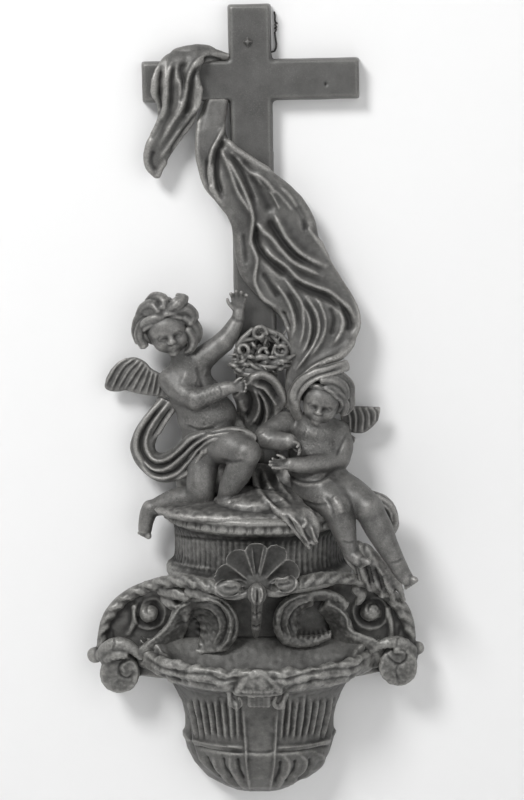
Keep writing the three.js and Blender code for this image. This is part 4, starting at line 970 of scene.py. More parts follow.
kneeling = {
    "voxel": 0.55, "head": (167, 328.5, 22), "headRadius": 14.6, "headTurn": (14, -15, 8),
    "trunk": [
        ((187, 379, 15.5), (14, 10, 12.5), -14), ((196, 396, 16), (15.5, 11, 11), -14),
        ((207, 416, 17.5), (17.2, 12.5, 14), -8), ((210, 438, 17), (16, 12, 11), 0),
    ],
    "limbs": [
        ([(170, 380, 17, 6.8), (182, 392, 23, 6.6), (196, 399, 28, 6)], 3),
        ([(196, 399, 28, 6), (212, 394, 31, 5.2), (224, 389, 33.5, 4.3), (231, 387.5, 34.5, 3.4)], 1.8),
        ([(201, 360, 17, 7.4), (211, 352, 18, 6.6), (224, 342, 18.5, 5.8)], 3.5),
        ([(224, 341, 18.5, 5.6), (231, 332, 18.5, 5.2), (237, 320, 18, 3.9), (238.5, 313, 18, 3.3)], 1.8),
        ([(181, 352, 18, 6.5), (186, 368, 16, 8)], 3),
        ([(212, 443, 19, 11.5), (230, 446, 30, 10.6), (246, 452, 39, 8.2)], 3),
        ([(246, 454, 39, 8), (239, 470, 37, 7.9), (230, 487, 35, 6.2), (225, 499, 34, 4.6)], 1.6),
        ([(203, 445, 18, 11), (202, 466, 22, 9.6), (201, 486, 26, 8.2), (202, 496, 26, 7.2)], 3),
        ([(198, 497, 25, 7), (181, 499, 21, 7.2), (165, 504, 19, 6.2), (152, 509, 18.5, 4.6)], 1.8),
    ],
    "skin": [
        (0.7, 5, 5, [(182, 377), (190, 380), (197, 382)]),
        (0.7, 5, 5, [(203, 372), (209, 373), (214, 374)]),
        (-0.6, 2, 2, [(196, 366), (200, 378), (203, 388)]), (-0.5, 1.5, 1.5, [(203, 423), (205, 426)]),
        (-0.7, 1.5, 1.5, [(186, 425), (200, 430), (216, 427)]),
        (-0.6, 1.4, 1.4, [(222, 460), (232, 462), (243, 461)]),
        (-0.5, 1.2, 1.2, [(231, 317), (237, 321), (243, 321)]),
        (-0.5, 1.2, 1.2, [(217, 386), (221, 391), (221, 397)]),
    ],
    "pitted": (203, 400, 34), "wingThick": 3.4,
    "feathers": [
        [(137, 359), (124, 369), (113, 390)], [(141, 361), (130, 372), (120, 389)],
        [(144, 364), (136, 375), (127, 389)], [(147, 367), (141, 378), (134, 391)],
        [(150, 370), (146, 382), (141, 393)], [(154, 373), (151, 384), (148, 394)],
        [(158, 375), (156, 386), (154, 395)], [(162, 377), (161, 388), (159, 396)],
        [(130, 358), (118, 367), (108, 384)],
    ],
    "sashThick": 6.5,
    "sashOuter": [(160, 396, 9), (149, 410, 10), (137, 426, 11), (131, 440, 11.5), (130.5, 451, 12),
        (136, 464, 13), (147, 475, 15), (160, 482, 17), (176, 481, 20), (191, 473, 24), (201, 461, 27),
        (208, 450, 30), (219, 441, 33), (234, 437, 34), (247, 438, 34), (255, 443, 33)],
    "sashInner": [(178, 406, 12), (168, 420, 12), (159.5, 433, 12), (155.5, 443, 12.5), (155.5, 449, 13),
        (159, 452.5, 14), (166, 452, 16), (175, 446.5, 19), (183, 439, 22), (190, 433.5, 26),
        (200, 430.5, 29), (211, 429, 31), (222, 427.5, 32), (234, 426.5, 32), (245, 428.5, 31),
        (253, 435, 30)],
    "sashFolds": [
        (2, 2.2, 2.2, [(162, 399), (148, 417), (138, 434), (136.5, 449), (143, 462), (154, 470),
            (168, 468), (182, 457), (193, 446), (205, 438), (220, 433), (238, 431)]),
        (1.8, 1.8, 2, [(169, 402), (156, 419), (148, 433), (146, 446), (151, 457), (160, 461), (171, 457),
            (182, 448), (191, 439), (202, 434)]),
        (1.6, 1.8, 1.8, [(138, 461), (150, 474), (163, 478), (178, 473), (190, 461), (199, 449),
            (209, 441), (224, 437)]), (1.5, 1.6, 1.6, [(175, 480), (188, 472), (197, 460), (204, 448)]),
        (1.4, 1.4, 1.6, [(197, 468), (203, 458), (207, 448)]),
        (1.4, 1.6, 1.6, [(176, 406), (165, 422), (157, 436)]),
        (-2, 1.6, 1.6, [(165, 402), (151, 419), (142, 434), (141, 448), (147, 460), (157, 466),
            (169, 463), (182, 453), (192, 443), (205, 436)]),
        (-1.8, 1.5, 1.5, [(140, 455), (147, 467), (158, 474), (172, 472), (185, 461), (195, 449),
            (206, 440)]), (-1.6, 1.5, 1.5, [(184, 472), (193, 462), (200, 450)]),
        (-1.4, 1.4, 1.6, [(172, 408), (161, 423), (152, 438)]),
        (-1.6, 1.5, 1.5, [(210, 434), (228, 431), (244, 433)]),
    ],
    "fanThick": 6.5,
    "fanOuter": [(232, 395, 25), (236, 404, 20), (240, 414, 17), (244, 424, 15), (249, 436, 15)],
    "fanInner": [(252, 374, 30), (269, 373, 27), (282, 386, 23), (285, 404, 19), (270, 432, 16)],
    "fanFolds": [
        (2.4, 2, 2.4, [(250, 378), (264, 375), (276, 383), (283, 396), (283, 407)]),
        (2, 1.8, 1.8, [(252, 384), (264, 388), (272, 398), (277, 407)]),
        (2.2, 1.8, 1.8, [(254, 388), (259, 400), (258, 413), (252, 424)]),
        (1.8, 1.6, 1.6, [(257, 389), (265, 402), (267, 416), (264, 428)]),
        (1.4, 2.4, 2.4, [(240, 399), (243, 408), (248, 412)]),
        (-2.6, 2, 2, [(258, 381), (269, 386), (278, 400)]),
        (-2.2, 1.6, 1.8, [(257, 392), (262, 404), (262, 417), (257, 429)]),
        (-2.8, 3.4, 3, [(247, 391), (251, 401), (249, 412), (243, 420)]),
        (-1.8, 1.8, 1.8, [(263, 393), (271, 404), (272, 418)]),
    ],
    # locks of hair: start, middle and end by bearing, height and lift, and size
    "locks": [
        ((-10, 42, 0.02), (-50, 50, 0.2), (-92, 12, 0.1), 0.17),
        ((-4, 50, 0.05), (-60, 72, 0.2), (-120, 30, 0.1), 0.19),
        ((0, 46, 0.06), (28, 66, 0.24), (66, 26, 0.1), 0.19),
        ((4, 54, 0.12), (60, 80, 0.2), (110, 30, 0.1), 0.2),
        ((-30, 36, 0), (-70, 40, 0.16), (-100, -14, 0.08), 0.16),
        ((20, 42, 0.02), (56, 44, 0.2), (84, -6, 0.12), 0.17),
        ((0, 62, 0.2), (8, 74, 0.36), (40, 70, 0.2), 0.2),
        ((-60, 30, 0.04), (-96, 24, 0.16), (-112, -34, 0.06), 0.16),
        ((50, 32, 0.04), (84, 20, 0.18), (98, -34, 0.12), 0.17),
        ((-84, -4, 0.04), (-96, -26, 0.14), (-82, -48, 0.04), 0.13),
        ((80, -2, 0.06), (94, -26, 0.18), (88, -50, 0.08), 0.15),
        ((-140, 50, 0.04), (-160, 20, 0.12), (-150, -30, 0.04), 0.22),
        ((-110, 52, 0.06), (-136, 30, 0.12), (-128, -24, 0.06), 0.2),
        ((140, 50, 0.06), (156, 20, 0.14), (150, -30, 0.06), 0.22),
        ((108, 52, 0.08), (132, 30, 0.14), (124, -28, 0.08), 0.2),
        ((180, 60, 0.05), (180, 20, 0.12), (178, -34, 0.04), 0.22),
        ((-96, 40, 0.05), (-120, 10, 0.1), (-108, -40, 0.05), 0.18),
        ((96, 40, 0.08), (116, 6, 0.14), (106, -44, 0.08), 0.18),
        ((-20, 60, 0.08), (-90, 84, 0.16), (-160, 50, 0.06), 0.2),
        ((24, 62, 0.1), (90, 84, 0.16), (160, 50, 0.06), 0.2),
        ((-44, 26, 0), (-66, 14, 0.1), (-86, -2, 0.06), 0.12),
        ((38, 28, 0), (58, 16, 0.1), (76, 2, 0.08), 0.12),
    ],
    "curls": [
        [(152, 318, 28, 3), (143, 326, 25, 3.4), (140, 336, 24, 3.2), (144, 346, 24, 2.6)],
        [(150, 312, 26, 3.2), (140, 320, 22, 3.6), (137, 331, 20, 3.2), (139, 342, 20, 2.4)],
        [(170, 309, 33, 2.6), (178, 303, 33, 3.6), (183, 298, 29, 3.2), (177, 295, 26, 1.4)],
        [(176, 311, 32, 2.6), (186, 309, 30, 3.6), (193, 316, 27, 3.4), (190, 323, 29, 2.4)],
        [(184, 318, 30, 2.6), (192, 323, 27, 3.4), (197, 332, 24, 3.4), (196, 341, 23, 2.4)],
        [(188, 330, 28, 2.4), (193, 339, 25, 3), (191, 348, 24, 2.6), (186, 352, 23, 1.8)],
        [(164, 308, 33, 2.4), (163, 300, 31, 3.4), (155, 298, 27, 3.4), (148, 303, 23, 2.6)],
        [(158, 311, 33, 2.4), (152, 305, 30, 3.4), (144, 309, 25, 3.4), (139, 317, 21, 2.4)],
    ],
    "wings": [
        ([(168, 376, 13), (159, 372.5, 13), (151, 368, 13), (145, 361.5, 12.5), (137, 357.5, 12),
            (127, 358, 11.5), (116, 364, 11), (108, 374, 10.5), (104.5, 385, 10)], [(170, 398, 13),
            (160, 397, 12.5), (150, 395.5, 12), (141, 394.5, 12), (133, 392.5, 11.5), (126, 390.5, 11),
            (119, 391.5, 11), (112, 391.5, 10.5), (106, 389, 10)]),
    ],
    # wrist, way, palm side, size, curl, spread and side of the thumb
    "hands": [
        ((238.5, 313, 18), (0.02, -0.12, 1), (0, -1, -0.1), 14, 0.4, 0.2, -1),
        ((231, 387.5, 34.5), (1, -0.1, 0.08), (0.1, -1, 0.2), 11, 0.9, 0.1, -1),
    ],
    # ankle to instep, first and last toe, size of the great toe
    "feet": [
        ([(150, 508, 18, 4.7), (148, 514, 18, 4.9), (146, 522, 18, 4.4), (145, 529, 18, 4)],
            (148.5, 536, 20), (139, 533, 15), 1.9),
        ([(225, 499, 34, 4.4), (227, 503, 37, 4.2), (231, 504, 40, 3.4)], (236, 504, 43),
            (240, 503, 39), 1.2),
    ],
}


def makeBody(figure, name):
    head, at = headForms(spot(*figure["head"]), figure["headRadius"], figure["headTurn"])
    forms = []
    for place, radii, lean in figure["trunk"]:
        forms.append(egg(spot(*place), radii, (0, lean, 0), 4.0))
    for points, blend in figure["limbs"]:
        forms += rods(track(points), blend, 8 * len(points))
    forms += head
    forms += lockForms(at, figure["headRadius"], figure["locks"])
    for curl in figure["curls"]:
        forms += curlForms(curl)
    for wrist, *hand in figure["hands"]:
        forms += handForms(spot(*wrist), *hand)
    for foot in figure["feet"]:
        forms += footForms(*foot)
    mesh = melted(name, forms, figure["voxel"])
    pressStrokes(mesh, figure["skin"])
    places = readMesh(mesh)
    centreX, centreY, reach = figure["pitted"]
    pixels = toPixels(places)
    near = smoothStep(reach, reach * 0.4, np.hypot(pixels[:, 0] - centreX, (pixels[:, 1] - centreY) * 0.8))
    pits = np.clip(lumps(places, 1.7, 5) * lumps(places, 1.3, 6), -1, 1) * 0.14 * near
    pushOut(mesh, pits + lumps(places, 6, 8) * 0.08)
    return mesh


def clothPiece(name, parts, folds, voxel, seed, forms=()):
    bm = bmesh.new()
    for part in parts:
        joinInto(bm, part)
    addForms(bm, forms)
    mesh = remeshed(bm, name, voxel, 2)
    pressStrokes(mesh, folds)
    pushOut(mesh, unevenness(readMesh(mesh), [(4, seed, 0.1)]))
    return mesh


def makeCloth(figure, name, kinds, seed, forms=()):
    parts = [strip(figure[kind + "Outer"], figure[kind + "Inner"], figure[kind + "Thick"], clothing["grain"])
             for kind in kinds]
    folds = [fold for kind in kinds for fold in figure[kind + "Folds"]]
    return clothPiece(name, parts, folds, clothing["voxel"], seed, forms)


def makeWing(figure, name, seed):
    parts = [strip(top, foot, figure["wingThick"], feathering["grain"]) for top, foot in figure["wings"]]
    return clothPiece(name, parts, featherStrokes(figure["feathers"]), feathering["voxel"], seed)


addPiece("kneelingChild", makeBody(kneeling, "kneelingChild"), fleshBronze, limit=150000)
kneelingCloth = makeCloth(kneeling, "kneelingCloth", ("sash", "fan"), 21)
addPiece("kneelingCloth", kneelingCloth, clothBronze, limit=70000)
addPiece("kneelingWing", makeWing(kneeling, "kneelingWing", 22), clothBronze, limit=25000)


seated = {
    "voxel": 0.55, "head": (322, 399, 26), "headRadius": 13.6, "headTurn": (16, 14, -4),
    "trunk": [
        ((316, 432, 20), (14.5, 11, 12), 6), ((315, 452, 21), (15.5, 12, 12), 4),
        ((316, 472, 22), (17, 13, 12), 4), ((322, 488, 22), (17.5, 13, 11), 8),
    ],
    "limbs": [
        ([(285, 423, 19, 7.2), (275, 430, 23, 7), (266, 437, 27, 6.6)], 3),
        ([(266, 438, 27, 6.4), (278, 441, 32, 5.6), (289, 441, 36, 4.4)], 1.8),
        ([(338, 432, 19, 7), (342, 446, 22, 6.6), (339, 458, 25, 6.2)], 3),
        ([(339, 459, 25, 6), (322, 463, 32, 5.6), (303, 465, 37, 4.8), (291, 464.5, 38.5, 3.8)], 1.8),
        ([(312, 420, 22, 6.5), (314, 430, 20, 8)], 3),
        ([(310, 487, 26, 11.5), (325, 496, 38, 10.5), (337, 507, 46, 8.4)], 3),
        ([(337, 509, 46, 8.2), (342, 522, 46, 7.8), (346, 537, 46, 6), (350, 549, 46, 4.6)], 1.8),
        ([(335, 487, 24, 11.5), (353, 496, 36, 10), (369, 508, 43, 8.2)], 3),
        ([(369, 510, 43, 8), (378, 527, 44, 8), (388, 547, 45, 6.4), (399, 567, 46, 4.8)], 1.8),
    ],
    "skin": [
        (-0.8, 1.4, 1.4, [(287, 474), (300, 481), (318, 480), (332, 472)]),
        (0.8, 2.2, 2.2, [(290, 478), (303, 485), (320, 484), (336, 476)]),
        (-0.6, 1.4, 1.4, [(300, 500), (316, 505), (328, 503)]),
        (0.9, 3, 3, [(333, 496), (339, 505), (342, 514)]),
        (-0.7, 1.6, 1.6, [(326, 497), (331, 506), (334, 516)]),
        (0.6, 4, 4, [(305, 432), (312, 434), (318, 435)]),
        (-0.6, 1.6, 1.6, [(347, 434), (341, 446), (336, 457)]),
        (-0.5, 1.2, 1.2, [(343, 541), (349, 543), (355, 541)]),
        (-0.5, 1.2, 1.2, [(390, 563), (397, 562), (403, 558)]),
        (0.6, 3.5, 3.5, [(262, 433), (265, 437), (270, 441)]),
    ],
    "pitted": (318, 440, 26),
    "locks": [
        ((-8, 42, 0), (-40, 50, 0.1), (-80, 16, 0.06), 0.14),
        ((0, 48, 0.04), (34, 60, 0.16), (72, 22, 0.08), 0.17),
        ((6, 56, 0.06), (60, 76, 0.16), (110, 34, 0.08), 0.18),
        ((24, 42, 0.02), (58, 42, 0.14), (84, -4, 0.1), 0.16),
        ((50, 30, 0.04), (82, 18, 0.16), (94, -30, 0.12), 0.16),
        ((74, 2, 0.05), (90, -18, 0.16), (84, -44, 0.08), 0.15),
        ((0, 64, 0.06), (-50, 80, 0.12), (-120, 40, 0.06), 0.18),
        ((110, 44, 0.06), (130, 16, 0.12), (120, -30, 0.06), 0.19),
        ((140, 50, 0.05), (156, 20, 0.12), (150, -30, 0.05), 0.21),
        ((180, 60, 0.04), (180, 20, 0.1), (178, -34, 0.04), 0.21),
        ((-140, 50, 0.04), (-156, 20, 0.1), (-150, -30, 0.04), 0.2),
        ((-100, 46, 0.04), (-124, 16, 0.1), (-112, -34, 0.04), 0.18),
        ((30, 60, 0.08), (96, 80, 0.16), (160, 46, 0.06), 0.19),
    ],
    "curls": [
        [(322, 380, 38, 2.2), (334, 381, 36, 3), (343, 388, 32, 3.2), (345, 398, 30, 2.4)],
        [(328, 376, 36, 2.4), (340, 377, 32, 3.2), (349, 386, 27, 3.2), (350, 397, 25, 2.6)],
        [(342, 386, 31, 2.4), (349, 395, 26, 3), (350, 405, 24, 2.8), (345, 413, 23, 1.8)],
        [(340, 396, 33, 2), (345, 405, 29, 2.6), (343, 414, 26, 2)],
    ],
    "hoodThick": 4.6,
    "hoodOuter": [(294, 418, 20), (289.5, 405, 23), (289.5, 392, 25), (296, 380, 28), (309, 371.5, 31),
        (323, 367, 31), (337, 362.5, 28), (346, 360, 24)],
    "hoodInner": [(305, 420, 24), (299.5, 409, 29), (299, 397, 33), (305, 387, 36.5), (314, 379.5, 38.5),
        (326, 375, 38.5), (339, 372, 35), (349, 371, 29)],
    "hoodFolds": [
        (1.3, 1.4, 1.6, [(346, 362), (330, 368), (314, 372), (299, 381), (292, 393), (292, 406)]),
        (1.2, 1.4, 1.4, [(347, 369), (331, 374), (316, 379), (306, 387), (301, 396), (301, 408)]),
        (-1.4, 1.4, 1.6, [(340, 369), (325, 373), (310, 379), (300, 388), (296.5, 400)]),
    ],
    "hipThick": 5,
    "hipOuter": [(338, 478, 20), (350, 484.5, 24), (362, 487.5, 26), (376, 492, 26), (388, 500, 25),
        (396, 512, 23), (397.5, 524, 21), (393, 533, 19)],
    "hipInner": [(338, 492, 30), (348, 500.5, 34), (358, 505.5, 35), (368, 506, 36), (377, 504.5, 35),
        (385, 507, 33), (389, 516, 30), (389, 527, 26)],
    "hipFolds": [
        (1.6, 1.4, 1.8, [(345, 486), (360, 491), (375, 496), (388, 504), (395, 516), (395, 528)]),
        (1.8, 1.4, 1.4, [(345, 500), (358, 506.5), (370, 505), (381, 504), (389, 510), (392, 520)]),
        (1.2, 1.6, 1.6, [(352, 494), (366, 499), (378, 500)]),
        (-1.6, 1.6, 1.6, [(347, 494), (360, 500), (374, 501), (386, 506)]),
    ],
    "wings": [
        ([(340, 410, 14), (348, 407, 14), (358, 406, 14), (369, 406.3, 13.5),
            (380.5, 407, 13)], [(342, 430, 14), (350, 432, 14), (358, 433.5, 14), (367, 431.5, 13.5),
            (378, 421, 13)]),
        ([(338, 428, 12), (346, 431, 12), (356, 437.5, 12)], [(338, 447, 12), (345, 449, 12),
            (354, 443, 12)]),
    ],
    "feathers": [
        [(349, 408), (352, 419), (352, 431)], [(355, 407), (358, 418), (357, 433)],
        [(361, 407), (365, 417), (364, 432)], [(367, 407), (371, 415), (371, 427)],
        [(373, 407), (377, 413), (377, 422)], [(343, 432), (347, 439), (346, 448)],
        [(349, 434), (352, 439), (350, 446)],
    ],
    "wingThick": 3.4,
    # loose cloth on the drum, over its edge, and down to the arch
    "lapOuter": [(256, 464, 14), (253, 478, 20), (254, 492, 30), (262, 503, 42), (272, 511, 50),
        (283, 518, 55), (292, 530, 55.5), (300, 540, 55.5), (307, 548, 55)],
    "lapInner": [(288, 468, 18), (292, 486, 24), (301, 500, 34), (310, 510, 44), (317, 517, 51),
        (320, 524, 53), (320, 532, 54), (316, 541, 55), (310, 549, 55)],
    "fall": [
        [(350, 547, 42, 4), (354, 558, 41, 3.8), (358, 570, 38, 3), (360, 581, 35, 1.4)],
        [(358, 548, 42, 4.2), (364, 561, 41, 4), (369, 576, 37, 3), (370, 590, 32, 1.2)],
        [(366, 550, 41, 4), (374, 564, 40, 3.8), (379, 578, 36, 3), (383, 595, 28, 1.2)],
        [(372, 556, 40, 3.6), (384, 570, 38, 3.4), (390, 583, 33, 2.8), (393, 600, 24, 1.2)],
        [(380, 562, 38, 3), (391, 575, 36, 2.8), (399, 587, 31, 2.4), (404, 601, 22, 1.2)],
    ],
    "lapThick": 6,
    "lapFolds": [
        (1.8, 2, 2, [(254, 468), (256, 484), (264, 498), (274, 507)]),
        (1.4, 2, 2, [(263, 470), (268, 485), (279, 498), (290, 508)]),
        (1.2, 2, 2, [(276, 472), (282, 488), (294, 502)]),
        (2.2, 1.4, 1.8, [(282, 517), (288, 527), (297, 540), (303, 548)]),
        (2, 1.4, 1.6, [(294, 519), (301, 529), (308, 541), (315, 545)]),
        (1.8, 1.4, 1.6, [(311, 526), (314, 537), (317, 545)]),
        (1.4, 1.6, 1.6, [(303, 518), (306, 523), (301, 528)]),
        (-2.2, 1.4, 1.6, [(287, 517), (294, 530), (303, 543)]),
        (-1.8, 1.4, 1.6, [(303, 530), (309, 540), (312, 547)]),
        (-1.4, 2, 2, [(259, 470), (262, 486), (272, 500), (283, 509)]),
        (2, 1.8, 1.8, [(345, 553), (349, 566), (347, 578)]),
        (1.9, 1.8, 1.8, [(357, 556), (362, 570), (366, 584)]),
        (1.9, 1.8, 1.8, [(368, 560), (373, 575), (378, 590)]),
        (1.7, 1.8, 1.8, [(379, 568), (386, 582), (392, 594)]),
        (1.5, 1.4, 1.4, [(372, 582), (376, 592), (384, 598)]),
        (-2.2, 1.6, 1.6, [(351, 558), (355, 570), (356, 582)]),
        (-2.2, 1.6, 1.6, [(363, 560), (368, 575), (371, 588)]),
        (-2, 1.6, 1.6, [(375, 568), (380, 582), (384, 592)]),
    ],
    # the uneven ground under the children, as (x, y, z) and radii in millimetres
    "ground": [
        ((-2, -26, -244.5), (54, 29, 6.5)), ((-22, -14, -228), (22, 11, 20)),
        ((30, -16, -232), (20, 14, 16)), ((4, -28, -240), (26, 22, 9)), ((-8, -10, -214), (16, 7, 24)),
    ],
    "groundLumps": [(9, 24, 0.3), (3, 25, 0.14)],
    "hands": [
        ((289, 441, 36), (0.75, -0.45, -0.28), (0, -0.6, -0.6), 10.5, 0.7, 0.3, 1),
        ((291, 464.5, 38.5), (-1, -0.15, 0.02), (0, -0.6, 0.8), 12.5, 0.15, 0.12, 1),
    ],
    "feet": [
        ([(350, 547, 46, 4.6), (352, 554, 47, 4.6), (358, 559, 50, 4)], (368, 562, 55),
            (360, 567, 50), 1.8),
        ([(397, 564, 46, 4.7), (401, 571, 46, 4.8), (406, 578, 47, 4.2)], (415, 580, 50),
            (406, 588, 46), 1.9),
    ],
}


def makeLooseCloth():
    forms = [egg(place, radii) for place, radii in seated["ground"]]
    for path in seated["fall"]:
        forms += rods(track(path), 0.6)
    mesh = makeCloth(seated, "looseCloth", ("hood", "hip", "lap"), 23, forms)
    places = readMesh(mesh)
    low = smoothStep(-222, -232, places[:, 2]) * (places[:, 1] < -1)
    pushOut(mesh, unevenness(places, seated["groundLumps"]) * low)
    return mesh


addPiece("seatedChild", makeBody(seated, "seatedChild"), fleshBronze, limit=140000)
addPiece("looseCloth", makeLooseCloth(), clothBronze, limit=85000)
addPiece("seatedWing", makeWing(seated, "seatedWing", 24), clothBronze, limit=15000)


# The drum, the console behind it, its scrolls and the shell
drum = {
    "axisX": 4.9, "flutes": 84, "fluteDepth": 0.36, "beads": 33, "beadHeight": 1.3, "steps": 420,
    "profile": [(0, -240.2), (20, -240.6), (38, -242), (50, -243), (55.5, -244), (57.3, -245.4),
        (57.4, -247), (56.4, -248.4), (55.6, -249.4), (56.2, -250.6), (56.2, -252.4), (54.4, -254),
        (52.4, -255), (51, -257.2), (50, -260), (49.6, -268), (49.6, -274), (50.4, -278), (52.2, -280),
        (54, -281), (55, -283), (55, -286.4), (53, -288.4), (46, -289.6), (30, -290.4), (0, -291)],
    "cornice": (-253.4, -248.2), "neck": (-278.5, -257.5), "row": 0.75,
    "folds": [
        (-0.9, 1, 1, [(158, 532), (190, 538), (230, 541), (262, 541)]),
        (0.9, 1.2, 1.2, [(166, 561), (190, 566), (214, 569)]),
        (-0.8, 1, 1, [(165, 568), (190, 573), (214, 576)]),
    ],
    "flatness": 1, "topRadius": 45, "neckFade": 1.5, "beadReach": 0.62, "dartPlace": 0.9, "dartWidth": 0.1,
    "lumps": [(4, 31, 0.14), (1.6, 32, 0.07)],
}


def turned(piece, name, shape):
    # a profile of (radius, height) turned half round an upright axis, with a flat back at the wall
    profile = piece["profile"]
    path = [np.array(profile[0], dtype=float)]
    for a, b in zip(profile[:-1], profile[1:]):
        a, b = np.array(a, dtype=float), np.array(b, dtype=float)
        count = max(1, int(np.linalg.norm(b - a) / piece["row"]))
        path += [a + (b - a) * k / count for k in range(1, count + 1)]
    path = np.array(path)
    path[1:-1] = (path[:-2] + 2 * path[1:-1] + path[2:]) / 4
    bm = bmesh.new()
    bmesh.ops.create_grid(bm, x_segments=piece["steps"], y_segments=len(path) - 1, size=1)
    mesh = finishMesh(bm, name)
    places = readMesh(mesh)
    angle = places[:, 0] * math.pi / 2
    line = np.clip(np.rint((places[:, 1] + 1) / 2 * (len(path) - 1)).astype(int), 0, len(path) - 1)
    radius, height = shape(angle, path[line, 0], path[line, 1])
    depth = radius * np.cos(angle) * piece["flatness"]
    writeMesh(mesh, np.stack([piece["axisX"] + radius * np.sin(angle), -depth - 0.05, height], axis=1))
    return closed(mesh)


def makeDrum():
    def shape(angle, radius, height):
        outside = radius > drum["topRadius"]
        low, high = drum["neck"]
        fade = drum["neckFade"]
        inNeck = smoothStep(low, low + fade, height) * smoothStep(high, high - fade, height) * outside
        faded = 0.6 + 0.4 * np.cos(angle * 5 + height * 0.1) * np.cos(angle * 11 + 1)
        radius = radius - drum["fluteDepth"] * np.cos(angle * drum["flutes"]) * inNeck * faded
        low, high = drum["cornice"]
        across = (height - (low + high) / 2) / (high - low) * 2
        along = (angle * drum["beads"] / (2 * math.pi) + 0.5) % 1 * 2 - 1
        bead = np.clip(1 - (along / drum["beadReach"]) ** 2 - across ** 2, 0, 1) ** 0.5
        dart = np.exp(-((np.abs(along) - drum["dartPlace"]) / drum["dartWidth"]) ** 2)
        dart = dart * np.clip(1 - across ** 2, 0, 1) * 0.5
        radius = radius + drum["beadHeight"] * (bead + dart) * (radius > drum["topRadius"])
        return radius, height

    mesh = finishMesh(turned(drum, "drum", shape), "drum")
    pressStrokes(mesh, drum["folds"])
    places = readMesh(mesh)
    pushOut(mesh, unevenness(places, drum["lumps"]) * (places[:, 1] < -1))
    return mesh


shell = {
    # a fan of five hollow lobes round its foot: bearing of each in degrees and length in millimetres
    "hub": (257, 588, 57), "voxel": 0.5, "thick": 3, "leanOut": 0.16, "hollow": 2.6, "lip": 1.6,
    "lobes": [(-64, 26), (-31, 27), (-1, 28), (28, 29.5), (57, 27.5)],
    "valleys": [-84, -48, -16, 14, 42, 74],
    "curls": [((228, 588, 61), (7.6, 3.2, 4.4), -8), ((287, 584, 61), (7.2, 3.2, 4.4), 10)],
    "bud": ((257, 594, 64), (5.4, 4.6, 6.4), 0),
    "stem": [(257, 598, 58, 3.6), (257, 606, 53, 3.2), (256.5, 618, 46, 3), (256, 629, 40, 2.6),
        (256, 636, 36, 1.4)],
    "bands": [
        [(250, 592, 60, 2), (241, 596, 60, 2), (230, 597, 60, 1.8), (219, 594, 60, 1.6)],
        [(264, 592, 60, 2), (274, 594, 60, 2), (285, 593, 60, 1.8), (294, 589, 60, 1.6)],
    ],
    "folds": [
        (-1.8, 0.8, 0.8, [(257, 589), (257.5, 597), (257, 604)]),
        (1, 0.9, 0.9, [(253, 587), (252, 596), (255, 604)]),
        (1, 0.9, 0.9, [(261, 587), (262, 596), (259, 604)]),
        (1.1, 0.9, 0.9, [(246, 583), (240, 580), (231, 580.5), (222, 580), (216, 585), (217, 591),
            (225, 595.5), (235, 595.5), (241, 591), (243, 586)]),
        (-1, 1.8, 1.8, [(223, 587), (231, 589), (238, 587)]),
        (1.1, 0.9, 0.9, [(269, 583), (276, 579), (284, 579), (291, 576), (296, 580), (295, 587),
            (288, 591.5), (279, 591.5), (273, 588)]), (-1, 1.8, 1.8, [(291, 583), (284, 585), (277, 585)]),
        (-1.2, 1.2, 1.2, [(251, 612), (255, 616), (262, 612)]),
        (-1.2, 1.2, 1.2, [(251, 625), (256, 628), (262, 624)]),
        (-1.2, 0.8, 0.8, [(257, 606), (256.5, 612), (257, 620)]),
        (0.9, 0.8, 0.8, [(252, 548), (253, 560), (255, 575)]),
        (0.9, 0.8, 0.8, [(264, 547), (261.5, 560), (259, 575)]),
    ],
    "grid": (220, 120), "lumps": [(2.5, 35, 0.08)],
}


def makeShell():
    hub = spot(*shell["hub"])
    columns, rows = shell["grid"]
    bm = bmesh.new()
    bmesh.ops.create_grid(bm, x_segments=columns, y_segments=rows, size=1)
    mesh = finishMesh(bm, "fan")
    places = readMesh(mesh)
    valleys = np.array(shell["valleys"], dtype=float)
    bearing = valleys[0] + (places[:, 0] + 1) / 2 * (valleys[-1] - valleys[0])
    lobe = np.clip(np.searchsorted(valleys, bearing, side="right") - 1, 0, len(valleys) - 2)
    centre, length = np.array(shell["lobes"])[lobe].T
    half = np.where(bearing < centre, centre - valleys[lobe], valleys[lobe + 1] - centre)
    offset = np.clip(np.abs(bearing - centre) / half, 0, 1)
    reach = 1 - np.abs(places[:, 1])
    front = places[:, 1] < 0
    radius = 3 + (length - 3) * reach * (1 - 0.17 * (1 - np.sqrt(np.clip(1 - offset ** 2, 0, 1))) * reach)
    angle = np.radians(bearing)
    forward = shell["leanOut"] * radius + shell["lip"] * reach ** 4
    bowl = shell["hollow"] * (1 - offset ** 2) * np.sin(math.pi * np.clip(reach * 1.02, 0, 1)) ** 0.8
    forward = forward - bowl - np.where(front, 0, shell["thick"] * (1 - reach ** 6))
    across = hub[0] + radius * np.sin(angle)
    writeMesh(mesh, np.stack([across, hub[1] - forward, hub[2] + radius * np.cos(angle)], axis=1))
    bm = closed(mesh)
    forms = [egg(spot(*place), radii, (0, lean, 0)) for place, radii, lean in shell["curls"] + [shell["bud"]]]
    forms.append(egg(hub + np.array([0, 2, 2]), (9, 3.5, 8)))
    for path in shell["bands"] + [shell["stem"]]:
        forms += rods(track(path))
    addForms(bm, forms)
    mesh = remeshed(bm, "shell", shell["voxel"], 2)
    pressStrokes(mesh, shell["folds"])
    pushOut(mesh, unevenness(readMesh(mesh), shell["lumps"]))
    return mesh


